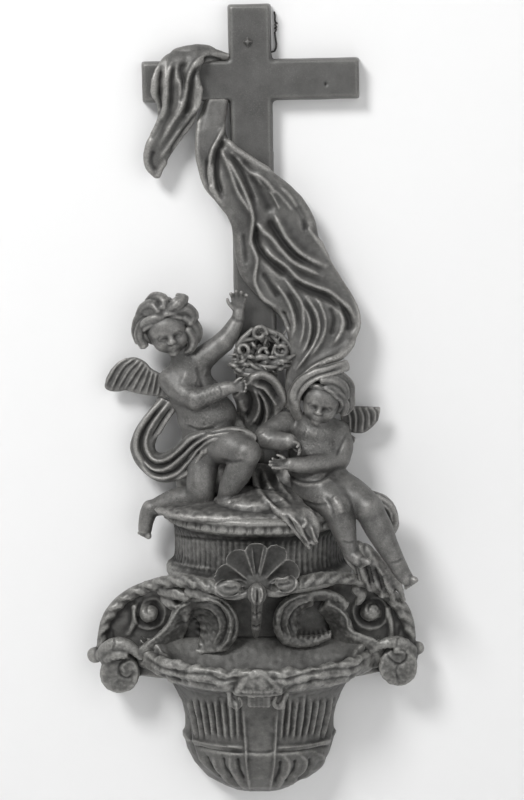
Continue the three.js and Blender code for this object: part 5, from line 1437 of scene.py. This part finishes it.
console = {
    "voxel": 0.68, "slabThick": 17, "bandThick": 9,
    "slabTop": [(100, 646, 8.6), (102, 625, 8.6), (110, 608, 8.6), (125, 594, 8.6), (145, 585, 8.6),
        (165, 579, 8.6), (200, 572, 8.6), (260, 570, 8.6), (325, 572, 8.6), (372, 580, 8.6),
        (392, 590, 8.6), (405, 604, 8.6), (411, 620, 8.6), (412, 645, 8.6)],
    "slabFoot": [(100, 650, 8.6), (108, 664, 8.6), (135, 672, 8.6), (165, 676, 8.6), (200, 678, 8.6),
        (260, 680, 8.6), (320, 678, 8.6), (355, 674, 8.6), (385, 668, 8.6), (404, 660, 8.6),
        (412, 648, 8.6)],
    "leftOuter": [(97, 651, 14), (97.5, 637, 15), (101, 620, 16), (109, 605, 17), (124, 591, 18),
        (143, 582, 21), (160, 576.5, 27), (180, 574, 37), (200, 577, 46), (221, 582, 53)],
    "leftInner": [(107, 651, 16), (107.5, 637, 17), (111, 623, 18), (119, 611, 19), (131, 601, 20),
        (147, 593, 24), (164, 588, 30), (182, 587, 39), (200, 590, 48), (219, 596, 54)],
    "rightOuter": [(297, 577, 54), (320, 572, 48), (345, 572, 38), (368, 576, 28), (388, 585, 20),
        (402, 597, 18), (411, 611, 17), (415, 627, 16), (416, 648, 14)],
    "rightInner": [(298, 590, 55), (322, 585, 49), (345, 584, 39), (364, 588, 30), (380, 597, 23),
        (392, 608, 20), (400, 620, 18), (405, 633, 17), (406, 648, 16)],
    "volutes": [((121, 668), 11.6, 26), ((397, 661), 11.4, 26)],
    "balls": [((95, 655, 16), 4.7), ((418, 648, 15), 4)],
    "curls": [
        [(101, 655, 20, 3.6), (110, 646, 25, 4.2), (122, 644, 27, 4), (133, 649, 27, 3), (140, 657, 25, 2)],
        [(105, 660, 22, 3), (114, 655, 27, 3.2), (124, 655, 28.5, 2.6)],
        [(412, 650, 19, 3.4), (402, 643, 24, 3.6), (390, 642, 26, 3.4), (380, 645, 26, 2.6),
            (372, 650, 24, 2)], [(414, 657, 18, 2.6), (407, 651, 24, 2.8), (397, 650, 27, 2.4)],
        [(149, 613, 17, 6.6), (149, 613, 20, 5)], [(371, 611, 17, 7.2), (371, 611, 20, 5.6)],
        [(128, 634, 17, 1.6), (134, 622, 18, 1.8), (134, 606, 18, 1.6)],
        [(392, 640, 17, 1.5), (391, 624, 18, 1.7), (388, 609, 18, 1.5)],
        [(163, 590, 26, 4), (174, 592, 30, 4.4), (186, 596, 34, 3.6)],
        [(166, 598, 24, 3.4), (171, 603, 26, 3.8)],
        [(356, 589, 26, 3.4), (361, 594, 26, 3.6), (358, 602, 25, 2.4)],
        [(190, 592, 40, 3.4), (204, 594, 46, 3.6), (216, 600, 48, 3)],
    ],
    # the leaves round the two hollows: outer edge, inner edge and thickness of each
    "leaves": [
        ([(131, 654, 26), (146, 643, 27), (158, 634, 27), (167, 624, 28), (173, 612, 29),
            (183, 602, 31)], [(150, 660, 20), (164, 654, 19), (176, 646, 18), (184, 635, 18),
            (189, 622, 20), (193, 611, 24)], 5),
        ([(180, 603, 31), (190, 597, 32), (204, 594, 34), (220, 598, 34), (232, 608, 34), (238, 622, 33),
            (237, 637, 31), (228, 651, 29)], [(186, 616, 25), (190, 614, 22), (195, 616, 20),
            (199, 620, 19), (201, 628, 19), (200, 637, 20), (196, 646, 22), (189, 655, 24)], 6),
        ([(172, 606, 29), (180, 612, 28), (184, 622, 26)], [(190, 600, 31), (193, 608, 29),
            (190, 618, 26)], 4),
        ([(312, 593, 33), (295, 595, 34), (281, 604, 34), (274, 618, 33), (275, 633, 31),
            (283, 645, 29)], [(313, 603, 25), (305, 607, 23), (298, 614, 22), (296, 623, 22),
            (299, 633, 23), (304, 640, 26)], 6),
        ([(281, 644, 29), (296, 648, 29), (314, 646, 28), (332, 639, 27)], [(295, 634, 26),
            (306, 635, 25), (318, 634, 25), (331, 629, 25)], 4.5),
        ([(386, 645, 25), (368, 638, 26), (355, 632, 27), (350, 620, 28), (343, 609, 29),
            (328, 600, 31)], [(368, 653, 19), (350, 650, 18), (335, 641, 18), (331, 629, 18),
            (325, 618, 20), (317, 609, 24)], 5),
        ([(300, 594, 33), (318, 590, 33), (336, 593, 31), (350, 603, 29)], [(302, 603, 28),
            (318, 599, 27), (333, 602, 26), (344, 612, 26)], 4.5),
    ],
    "folds": [
        (-1.3, 1.1, 1.1, [(140, 606), (138, 616), (145, 624), (156, 621), (160, 611), (154, 604),
            (147, 606), (146, 613), (151, 615)]),
        (0.9, 1.2, 1.2, [(139, 600), (134, 611), (137, 624), (149, 629), (162, 623), (165, 609),
            (157, 599), (146, 600), (142, 609), (145, 617)]),
        (-1.2, 1.2, 1.2, [(360, 606), (359, 616), (367, 623), (378, 620), (382, 610), (376, 603),
            (369, 605), (368, 612), (373, 614)]),
        (0.9, 1.3, 1.3, [(357, 599), (353, 611), (358, 624), (371, 629), (384, 623), (387, 609),
            (379, 598), (366, 599)]), (-0.8, 0.8, 0.8, [(113, 630), (114, 642), (112, 652)]),
        (-0.8, 0.8, 0.8, [(400, 626), (398, 638), (396, 648)]),
        (-1.2, 1, 1, [(132, 658), (125, 660), (119, 666), (120, 675), (128, 678), (134, 673)]),
        (0.8, 1.2, 1.2, [(129, 661), (123, 666), (124, 672)]),
        (-1.2, 1, 1, [(387, 654), (391, 660), (399, 664), (406, 659), (405, 651), (398, 650)]),
        (-1, 0.6, 0.6, [(400, 663), (396, 670), (398, 680)]),
        (1.3, 1, 1, [(140, 650), (153, 640), (165, 630), (173, 618), (180, 608), (190, 603)]),
        (-1.5, 1.4, 1.4, [(197, 603), (212, 604), (222, 613), (226, 626), (222, 640), (214, 650)]),
        (1.4, 1, 1.2, [(196, 600), (214, 600), (227, 610), (231, 625), (228, 640), (219, 651)]),
        (-1.3, 1.1, 1.1, [(205, 597), (222, 602), (233, 614), (235, 630), (230, 644)]),
        (1.2, 1.1, 1.1, [(200, 607), (211, 609), (219, 619), (220, 631), (214, 643)]),
        (-1.4, 1.2, 1.2, [(309, 597), (295, 601), (285, 611), (282, 624), (285, 637)]),
        (1.3, 1, 1, [(312, 600), (298, 604), (289, 614), (286, 625), (290, 638)]),
        (-1.2, 1, 1, [(305, 604), (296, 610), (291, 619), (292, 630)]),
        (1.2, 1, 1, [(300, 596), (287, 602), (278, 612), (277, 628)]),
        (1.4, 1, 1, [(325, 603), (337, 608), (346, 617), (349, 629), (362, 636), (381, 643)]),
    ],
    "grain": 0.9, "slabRim": -0.2, "voluteRounding": 1.2, "ribHeight": 0.6, "ribWidth": 2.1,
    "ribs": [("left", 12, 0.07), ("right", 11, -0.07)],
    # leaf lobes along inner edges: leaf, count, reach, height, width and lean
    "lobes": [(1, 15, 5, 0.45, 1.6, 0.5), (0, 11, 3, 0.5, 1.4, 0.5), (4, 15, 4, 0.5, 1.3, 0),
        (3, 9, 3, 0.3, 1.3, 0.5)],
}


def crossStrokes(outer, inner, count, slant, height, width):
    # even, slanted ribs between two lines
    outer = smoothPath([point[:2] for point in outer], 200)
    inner = smoothPath([point[:2] for point in inner], 200)
    strokes = []
    for k in range(count):
        for share, size in ((k + 0.25, height), (k + 0.75, -height * 0.9)):
            start = int(np.clip(share / count * 199, 0, 199))
            end = int(np.clip((share / count + slant) * 199, 0, 199))
            a, b = outer[start], inner[end]
            middle = (a + b) / 2 + (b - a)[::-1] * 0.08
            strokes.append((size, width, width, [tuple(a), tuple(middle), tuple(b)]))
    return strokes


def ringStrokes(path, count, reach, height, width, lean=0.5):
    # leaf lobes laid across a rolled edge
    line = smoothPath([point[:2] for point in path], 200)
    way = np.gradient(line, axis=0)
    way /= np.linalg.norm(way, axis=1)[:, None]
    strokes = []
    for k in range(count):
        i = int((k + 0.5) / count * 199)
        across = np.array([-way[i][1], way[i][0]])
        a = line[i] - across * reach + way[i] * reach * lean
        b = line[i] + across * reach - way[i] * reach * lean
        size = -height if k % 2 else height * 0.8
        strokes.append((size, width, width, [tuple(a), tuple(line[i]), tuple(b)]))
    return strokes


def makeVolute(place, radius, depth):
    x, _, z = spot(*place, depth / 2)
    disc = bmesh.new()
    made = bmesh.ops.create_cone(disc, cap_ends=True, segments=72, radius1=radius, radius2=radius,
                                 depth=depth)
    rims = {edge for vertex in made["verts"] for edge in vertex.link_edges
            if abs(edge.verts[0].co.z - edge.verts[1].co.z) < 0.01}
    bmesh.ops.bevel(disc, geom=list(rims), offset=console["voluteRounding"], offset_type="OFFSET", segments=3,
                    profile=0.5, material=-1, affect="EDGES")
    bmesh.ops.transform(disc, verts=disc.verts, matrix=Matrix.Translation((x, -depth / 2, z))
                        @ Matrix.Rotation(math.radians(90), 4, "X"))
    return disc


def makeConsole():
    grain = console["grain"]
    bm = strip(console["slabTop"], console["slabFoot"], console["slabThick"], grain, console["slabRim"])
    for side in ("left", "right"):
        joinInto(bm, strip(console[side + "Outer"], console[side + "Inner"], console["bandThick"], grain))
    for volute in console["volutes"]:
        joinInto(bm, makeVolute(*volute))
    forms = [egg(spot(*place), (radius,) * 3) for place, radius in console["balls"]]
    for path in console["curls"]:
        forms += rods(track(path), 1.0)
    for outer, inner, thick in console["leaves"]:
        joinInto(bm, strip(outer, inner, thick, grain))
    addForms(bm, forms)
    mesh = remeshed(bm, "console", console["voxel"], 3)
    strokes = list(console["folds"])
    for side, count, slant in console["ribs"]:
        strokes += crossStrokes(console[side + "Outer"], console[side + "Inner"], count, slant,
                                console["ribHeight"], console["ribWidth"])
    for leaf, *lobe in console["lobes"]:
        strokes += ringStrokes(console["leaves"][leaf][1], *lobe)
    pressStrokes(mesh, strokes)
    places = readMesh(mesh)
    leafy = smoothStep(-19, -23, places[:, 1])
    rough = lumps(places, 5, 33) * 0.14 + lumps(places, 2.2, 34) * (0.04 + 0.16 * leafy)
    pushOut(mesh, rough * (places[:, 1] < -1))
    return mesh


addPiece("drum", makeDrum(), ornamentBronze, limit=60000)
addPiece("shell", makeShell(), shellBronze, limit=45000)
addPiece("console", makeConsole(), ornamentBronze, limit=105000, curvatureScales=(0.06, 0.6))


# The basin: a shallow dish with a ruffled, chipped rim, fluted below and gadrooned at the foot
basin = {
    "axisX": 4.9, "flatness": 0.92, "steps": 420, "row": 0.75,
    "profile": [(0, -420), (10, -419.8), (24, -417), (33, -411.5), (39.5, -404), (43.5, -396),
        (45.2, -389.5), (46.4, -387.6), (46.4, -386), (45, -384.8), (44.6, -382), (44.8, -376),
        (46.5, -368), (50, -359), (54, -351), (58, -347.5), (62.5, -345.5), (67, -343), (70, -339),
        (71, -334), (70.6, -330.6), (68.6, -329.4), (66.4, -329.6), (64.4, -331.2), (60, -335.5),
        (52, -339.5), (42, -341.8), (20, -342.5), (0, -342.5)],
    "dishRadius": 66.5, "cornerFlare": 8, "backRise": (38, 20), "backTop": -323,
    "flutesTop": [188, 194, 201, 208, 215, 222, 229, 236, 284, 290, 297, 304, 311, 318, 325, 332],
    "flutesFoot": [196, 201, 207, 213, 219, 226, 232, 238, 281, 287, 293, 299, 305, 311, 317, 323],
    "folds": [
        (1.5, 1.1, 1.1, [(243.5, 712), (245.5, 740), (247, 765), (250, 790)]),
        (1.5, 1.1, 1.1, [(277, 712), (275.5, 740), (274, 765), (270, 790)]),
        (-1.8, 2.4, 1.4, [(168, 684), (181, 703), (188, 722), (190.5, 742), (198, 759), (213, 775),
            (233, 787)]),
        (-1.8, 1.4, 2.4, [(353, 684), (344, 700), (338, 718), (333.5, 738), (331, 754), (320, 769),
            (303, 781), (284, 790)]), (1.2, 1, 1.4, [(190, 740), (215, 745.5), (244, 748)]),
        (1.2, 1, 1.4, [(276, 748), (305, 745.5), (332, 740)]),
        (-1.6, 1.4, 1.4, [(193, 746), (216, 750.5), (245, 752)]),
        (-1.6, 1.4, 1.4, [(276, 752), (304, 750.5), (330, 746)]),
        (-0.7, 1.2, 1.2, [(247, 751), (260, 752), (273, 751)]),
        (1.3, 1.6, 1.9, [(197, 753), (204, 766), (216, 777), (232, 787)]),
        (1.3, 1.6, 1.9, [(213, 755), (216, 767), (225, 778), (238, 788)]),
        (1.3, 1.6, 1.9, [(230, 756), (231, 768), (237, 779), (246, 789)]),
        (1.3, 1.9, 1.6, [(283, 755), (289, 762), (287, 774), (277, 788)]),
        (1.3, 1.9, 1.6, [(299, 754), (306, 761), (302, 773), (288, 786)]),
        (1.3, 1.9, 1.6, [(315, 752), (323, 757), (318, 769), (302, 782)]),
        (-1.8, 1.8, 2.2, [(205, 755), (211, 768), (222, 779)]),
        (-1.8, 1.8, 2.2, [(222, 757), (225, 769), (233, 780)]),
        (-2, 1.6, 2, [(237, 758), (239, 770), (244, 781)]),
        (-1.8, 2.2, 1.8, [(281, 760), (280, 772), (274, 784)]),
        (-1.8, 2.2, 1.8, [(296, 759), (294, 771), (284, 783)]),
        (-1.8, 2.2, 1.8, [(311, 757), (309, 769), (296, 781)]),
    ],
    "cartouche": [
        [(238, 690, 62, 2.2), (243, 682, 63, 2.4), (250, 676, 64, 2.2), (258, 673.5, 64.5, 2.2),
            (266, 676, 64, 2.2), (273, 682, 63, 2.4), (279, 690, 62, 2.2)],
        [(236, 692, 60, 1.8), (246, 693.5, 61, 1.8), (258, 694, 61.5, 1.8), (270, 693.5, 61, 1.8),
            (281, 692, 60, 1.8)],
        [(229, 692, 58, 1.4), (231, 700, 56, 1.8), (236, 707, 54, 1.8), (241, 703, 55, 1.4),
            (239, 697, 56, 1.2)],
        [(287, 692, 58, 1.4), (284, 700, 56, 1.8), (279, 707, 54, 1.8), (274, 703, 55, 1.4),
            (276, 697, 56, 1.2)],
    ],
    "fringe": (242, 274, 9), "teeth": (250, 268, 5), "voxel": 0.6,
    # the ruffled layers of the rim
    "rimFolds": [
        (0.7, 1.2, 1.6, [(141, 650), (158, 662), (180, 669), (200, 670), (216, 672), (230, 677),
            (244, 673), (258, 671), (276, 673), (290, 677), (304, 671), (322, 668), (342, 663),
            (358, 663), (380, 646)]),
        (0.6, 1.6, 1.6, [(146, 660), (162, 671), (184, 676), (206, 679), (220, 684), (232, 681),
            (246, 678)]),
        (0.6, 1.6, 1.6, [(270, 679), (284, 683), (298, 680), (312, 676), (330, 675), (350, 673),
            (368, 664)]), (0.5, 1.4, 1.4, [(160, 678), (184, 684), (205, 688), (222, 691)]),
        (0.5, 1.4, 1.4, [(292, 690), (312, 686), (334, 683), (354, 680)]),
        (-0.7, 1.4, 1.4, [(143, 656), (160, 667), (184, 673), (208, 675), (224, 681), (238, 678),
            (252, 675)]),
        (-0.7, 1.4, 1.4, [(264, 675), (282, 679), (298, 676), (314, 672), (334, 669), (352, 668),
            (374, 655)]), (-0.7, 1.3, 1.3, [(155, 674), (180, 680), (204, 684), (222, 688)]),
        (-0.7, 1.3, 1.3, [(290, 687), (310, 682), (332, 679), (354, 676)]),
    ],
    "dishFloor": -346, "rimFoot": (-343, -340.5), "fluteStep": 3.3, "flutesY": (698, 718, 738),
}


def rimShare(places):
    # one on the ruffled band round the dish, nought elsewhere
    reach = np.hypot(places[:, 0] - basin["axisX"], places[:, 1] / basin["flatness"])
    return smoothStep(-350, -345, places[:, 2]) * smoothStep(64.5, 67, reach)


def makeBasin():
    def shape(angle, radius, height):
        inDish = (radius < basin["dishRadius"]) & (height > basin["dishFloor"])
        depth = radius * np.cos(angle) * basin["flatness"]
        rise = smoothStep(*basin["backRise"], depth)
        height = np.where(inDish, height + (np.maximum(basin["backTop"], height) - height) * rise, height)
        inRim = smoothStep(*basin["rimFoot"], height) * (radius > basin["dishRadius"] - 3)
        ruffle = 0.7 * np.cos(angle * 13) + 0.5 * np.cos(angle * 23 + 1) + 0.3 * np.sin(angle * 41)
        corner = basin["cornerFlare"] * smoothStep(0.86, 1.0, np.abs(np.sin(angle)))
        radius = radius + inRim * (ruffle + corner)
        chip = 0.45 * np.cos(angle * 17 + 2) + 0.4 * np.sin(angle * 31) + 0.3 * np.sin(angle * 57 + 1)
        return radius, height + inRim * chip

    bm = turned(basin, "basin", shape)
    forms = []
    for path in basin["cartouche"]:
        forms += rods(track(path), 0.8, 3 * len(path))
    start, end, count = basin["fringe"]
    for k in range(count):
        share = k / (count - 1)
        x = start + (end - start) * share
        bow = math.sin(share * math.pi)
        forms += rods(track([(x, 688 - 9 * bow, 63, 0.9), (258 + (x - 258) * 0.9, 691.5, 63.5, 1.1)]), 0.5)
    start, end, count = basin["teeth"]
    for k in range(count):
        x = start + (end - start) * k / (count - 1)
        forms += rods(track([(x, 696, 58, 1.7), (x, 705, 54.5, 1.5)]), 0.5)
    addForms(bm, forms)
    mesh = remeshed(bm, "basin", basin["voxel"], 2)
    rng = np.random.default_rng(41)
    strokes = basin["folds"] + basin["rimFolds"]
    topY, middleY, footY = basin["flutesY"]
    for top, foot in zip(basin["flutesTop"], basin["flutesFoot"]):
        bend = rng.uniform(-0.8, 0.8)
        line = [(top, topY + rng.uniform(-3, 3)), ((top + foot) / 2 + bend, middleY),
                (foot, footY + rng.uniform(-2, 2))]
        strokes.append((rng.uniform(0.9, 1.4), 1.2, 1.4, line))
        strokes.append((-rng.uniform(0.8, 1.2), 1.3, 1.3, [(x + basin["fluteStep"], y) for x, y in line]))
    pressStrokes(mesh, strokes, facing=0.05)
    places = readMesh(mesh)
    rim = rimShare(places)
    rough = lumps(places, 4, 42) * 0.12 + lumps(places, 2.4, 43) * (0.03 + 0.12 * rim)
    rough = rough + lumps(places, 7, 44) * rim * 0.4
    pushOut(mesh, rough * (places[:, 1] < -1))
    return mesh


def brighterRimDarkerFoot(places):
    # the rim is made brighter, by rubbed wear and by a painted highlight from the light above, and the foot
    # is made darker
    return 0.13 * rimShare(places) - 0.1 * smoothStep(-386, -392, places[:, 2])


addPiece("basin", makeBasin(), ornamentBronze, limit=100000, curvatureScales=(0.06, 0.6), toneShift=brighterRimDarkerFoot)


# The crown of thorns, held up by the kneeling child: twisted stems with three curls and thorns
crown = {
    "voxel": 0.42, "centre": (262, 352, 21), "reach": (22, 16), "lift": 4, "stems": 3, "stemRadius": 1.25,
    "curls": [(259.5, 333, 23, 6.6, 0.4), (243, 350, 24, 6, 2.2), (281, 350, 24, 6.4, 4.1),
        (264, 354, 21, 5.4, 5.4)],
    "curlRadius": 1.2, "twigs": 60, "thorns": 40, "thornLength": 6, "thornRadius": 0.62,
    "leaves": [
        [(232, 366, 22, 1.6), (246, 370, 25, 2), (262, 371, 26, 1.8), (277, 366, 25, 1.4)],
        [(236, 372, 24, 1.4), (250, 375, 27, 1.8), (266, 374, 27, 1.4)],
        [(234, 361, 20, 1.5), (240, 342, 20, 1.6), (252, 330, 20, 1.5)],
        [(266, 330, 19, 1.5), (281, 336, 20, 1.6), (291, 348, 19, 1.4)],
        [(248, 362, 22, 1.7), (262, 357, 24, 2), (274, 362, 23, 1.6)],
    ],
}


def makeCrown():
    rng = np.random.default_rng(51)
    forms = []
    centreX, centreY, depth = crown["centre"]
    reachX, reachY = crown["reach"]
    for k in range(crown["stems"]):
        points = []
        for angle in np.linspace(0, 2 * math.pi, 26):
            twist = 3 * angle + 2 * math.pi * k / crown["stems"]
            out = 1 + 0.13 * math.cos(twist)
            points.append((centreX + reachX * out * math.cos(angle), centreY + reachY * out * math.sin(angle),
                           depth + crown["lift"] * math.sin(angle) + 2.2 * math.sin(twist),
                           crown["stemRadius"]))
        forms += rods(track(points), 0.4)
        for _ in range(crown["thorns"] // crown["stems"]):
            x, y, deep, _ = points[rng.integers(0, 25)]
            way = np.array([x - centreX, (y - centreY) * 1.3]) / reachX + rng.normal(size=2) * 0.5
            length = crown["thornLength"] * rng.uniform(0.5, 1.1)
            forms += rods(track([(x, y, deep, crown["thornRadius"] * 1.6),
                                 (x + way[0] * length, y + way[1] * length,
                                  deep + rng.uniform(-1, 3), 0.3)]), 0.3)
    for x, y, deep, reach, start in crown["curls"]:
        points = []
        for a in np.linspace(0, 1.9 * math.pi, 11):
            out = reach * (0.62 + 0.075 * a)
            points.append((x + out * math.cos(a + start), y + out * math.sin(a + start),
                           deep + 0.8 * math.sin(2 * a), crown["curlRadius"]))
        forms += rods(track(points), 0.5)
    for leaf in crown["leaves"]:
        forms += rods(track(leaf), 0.6)
    for k in range(crown["twigs"]):
        inside = k % 3 == 0
        x = rng.uniform(248, 276) if inside else rng.uniform(234, 288)
        if inside:
            y = rng.uniform(338, 360)
        else:
            y = 366 + rng.uniform(-8, 6) - 0.012 * (x - 262) ** 2 * rng.uniform()
        lean = rng.uniform(-1.4, 1.4) if inside else rng.uniform(-0.6, 0.5)
        reach = rng.uniform(5, 9)
        deep = rng.uniform(15, 20) if inside else rng.uniform(20, 26)
        forms += rods(track([(x - reach * math.cos(lean), y - reach * math.sin(lean), deep - 1, 0.6),
                             (x, y + rng.uniform(-1.5, 1.5), deep + 1, rng.uniform(1.0, 1.5)),
                             (x + reach * math.cos(lean), y + reach * math.sin(lean), deep - 1, 0.5)]), 0.5)
    return melted("crown", forms, crown["voxel"], rounds=1)


# The nail's facetted head, and the twisted hanging wire beside the upper post
smallParts = {
    "nailHead": 3.2, "nailHeadHeight": 2.2, "headTaper": 0.3, "rounding": 0.25, "shankRadius": 0.9,
    "voxel": 0.22, "lumps": [(1.6, 61, 0.08)],
}


def makeNail():
    low, high = (np.array(corner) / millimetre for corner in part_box("titulus_nail"))
    middle = (low + high) / 2
    bm = bmesh.new()
    headHeight = smallParts["nailHeadHeight"]
    shankLength = high[1] - low[1] - headHeight
    upright = Matrix.Rotation(math.radians(90), 4, "X")
    radius = smallParts["nailHead"]
    head = bmesh.ops.create_cone(bm, cap_ends=True, segments=4, radius1=radius,
                                 radius2=radius * smallParts["headTaper"], depth=headHeight)["verts"]
    place = Matrix.Translation((middle[0], low[1] + headHeight / 2, middle[2]))
    bmesh.ops.transform(bm, verts=head, matrix=place @ upright)
    bmesh.ops.bevel(bm, geom=bm.edges[:], offset=smallParts["rounding"], offset_type="OFFSET", segments=2,
                    profile=0.5, material=-1, affect="EDGES")
    radius = smallParts["shankRadius"]
    shank = bmesh.ops.create_cone(bm, cap_ends=True, segments=16, radius1=radius, radius2=radius,
                                  depth=shankLength)["verts"]
    place = Matrix.Translation((middle[0], high[1] - shankLength / 2, middle[2]))
    bmesh.ops.transform(bm, verts=shank, matrix=place @ upright)
    mesh = remeshed(bm, "titulusNail", smallParts["voxel"])
    pushOut(mesh, unevenness(readMesh(mesh), smallParts["lumps"]))
    return mesh


addPiece("crown", makeCrown(), clothBronze, limit=50000)
addPiece("titulusNail", makeNail(), clothBronze, node="titulus_nail", limit=5000)
wire = bpy.data.objects["hanging_wire"]
wire.data.materials.clear()
wire.data.materials.append(darkIron)
print("small parts made")
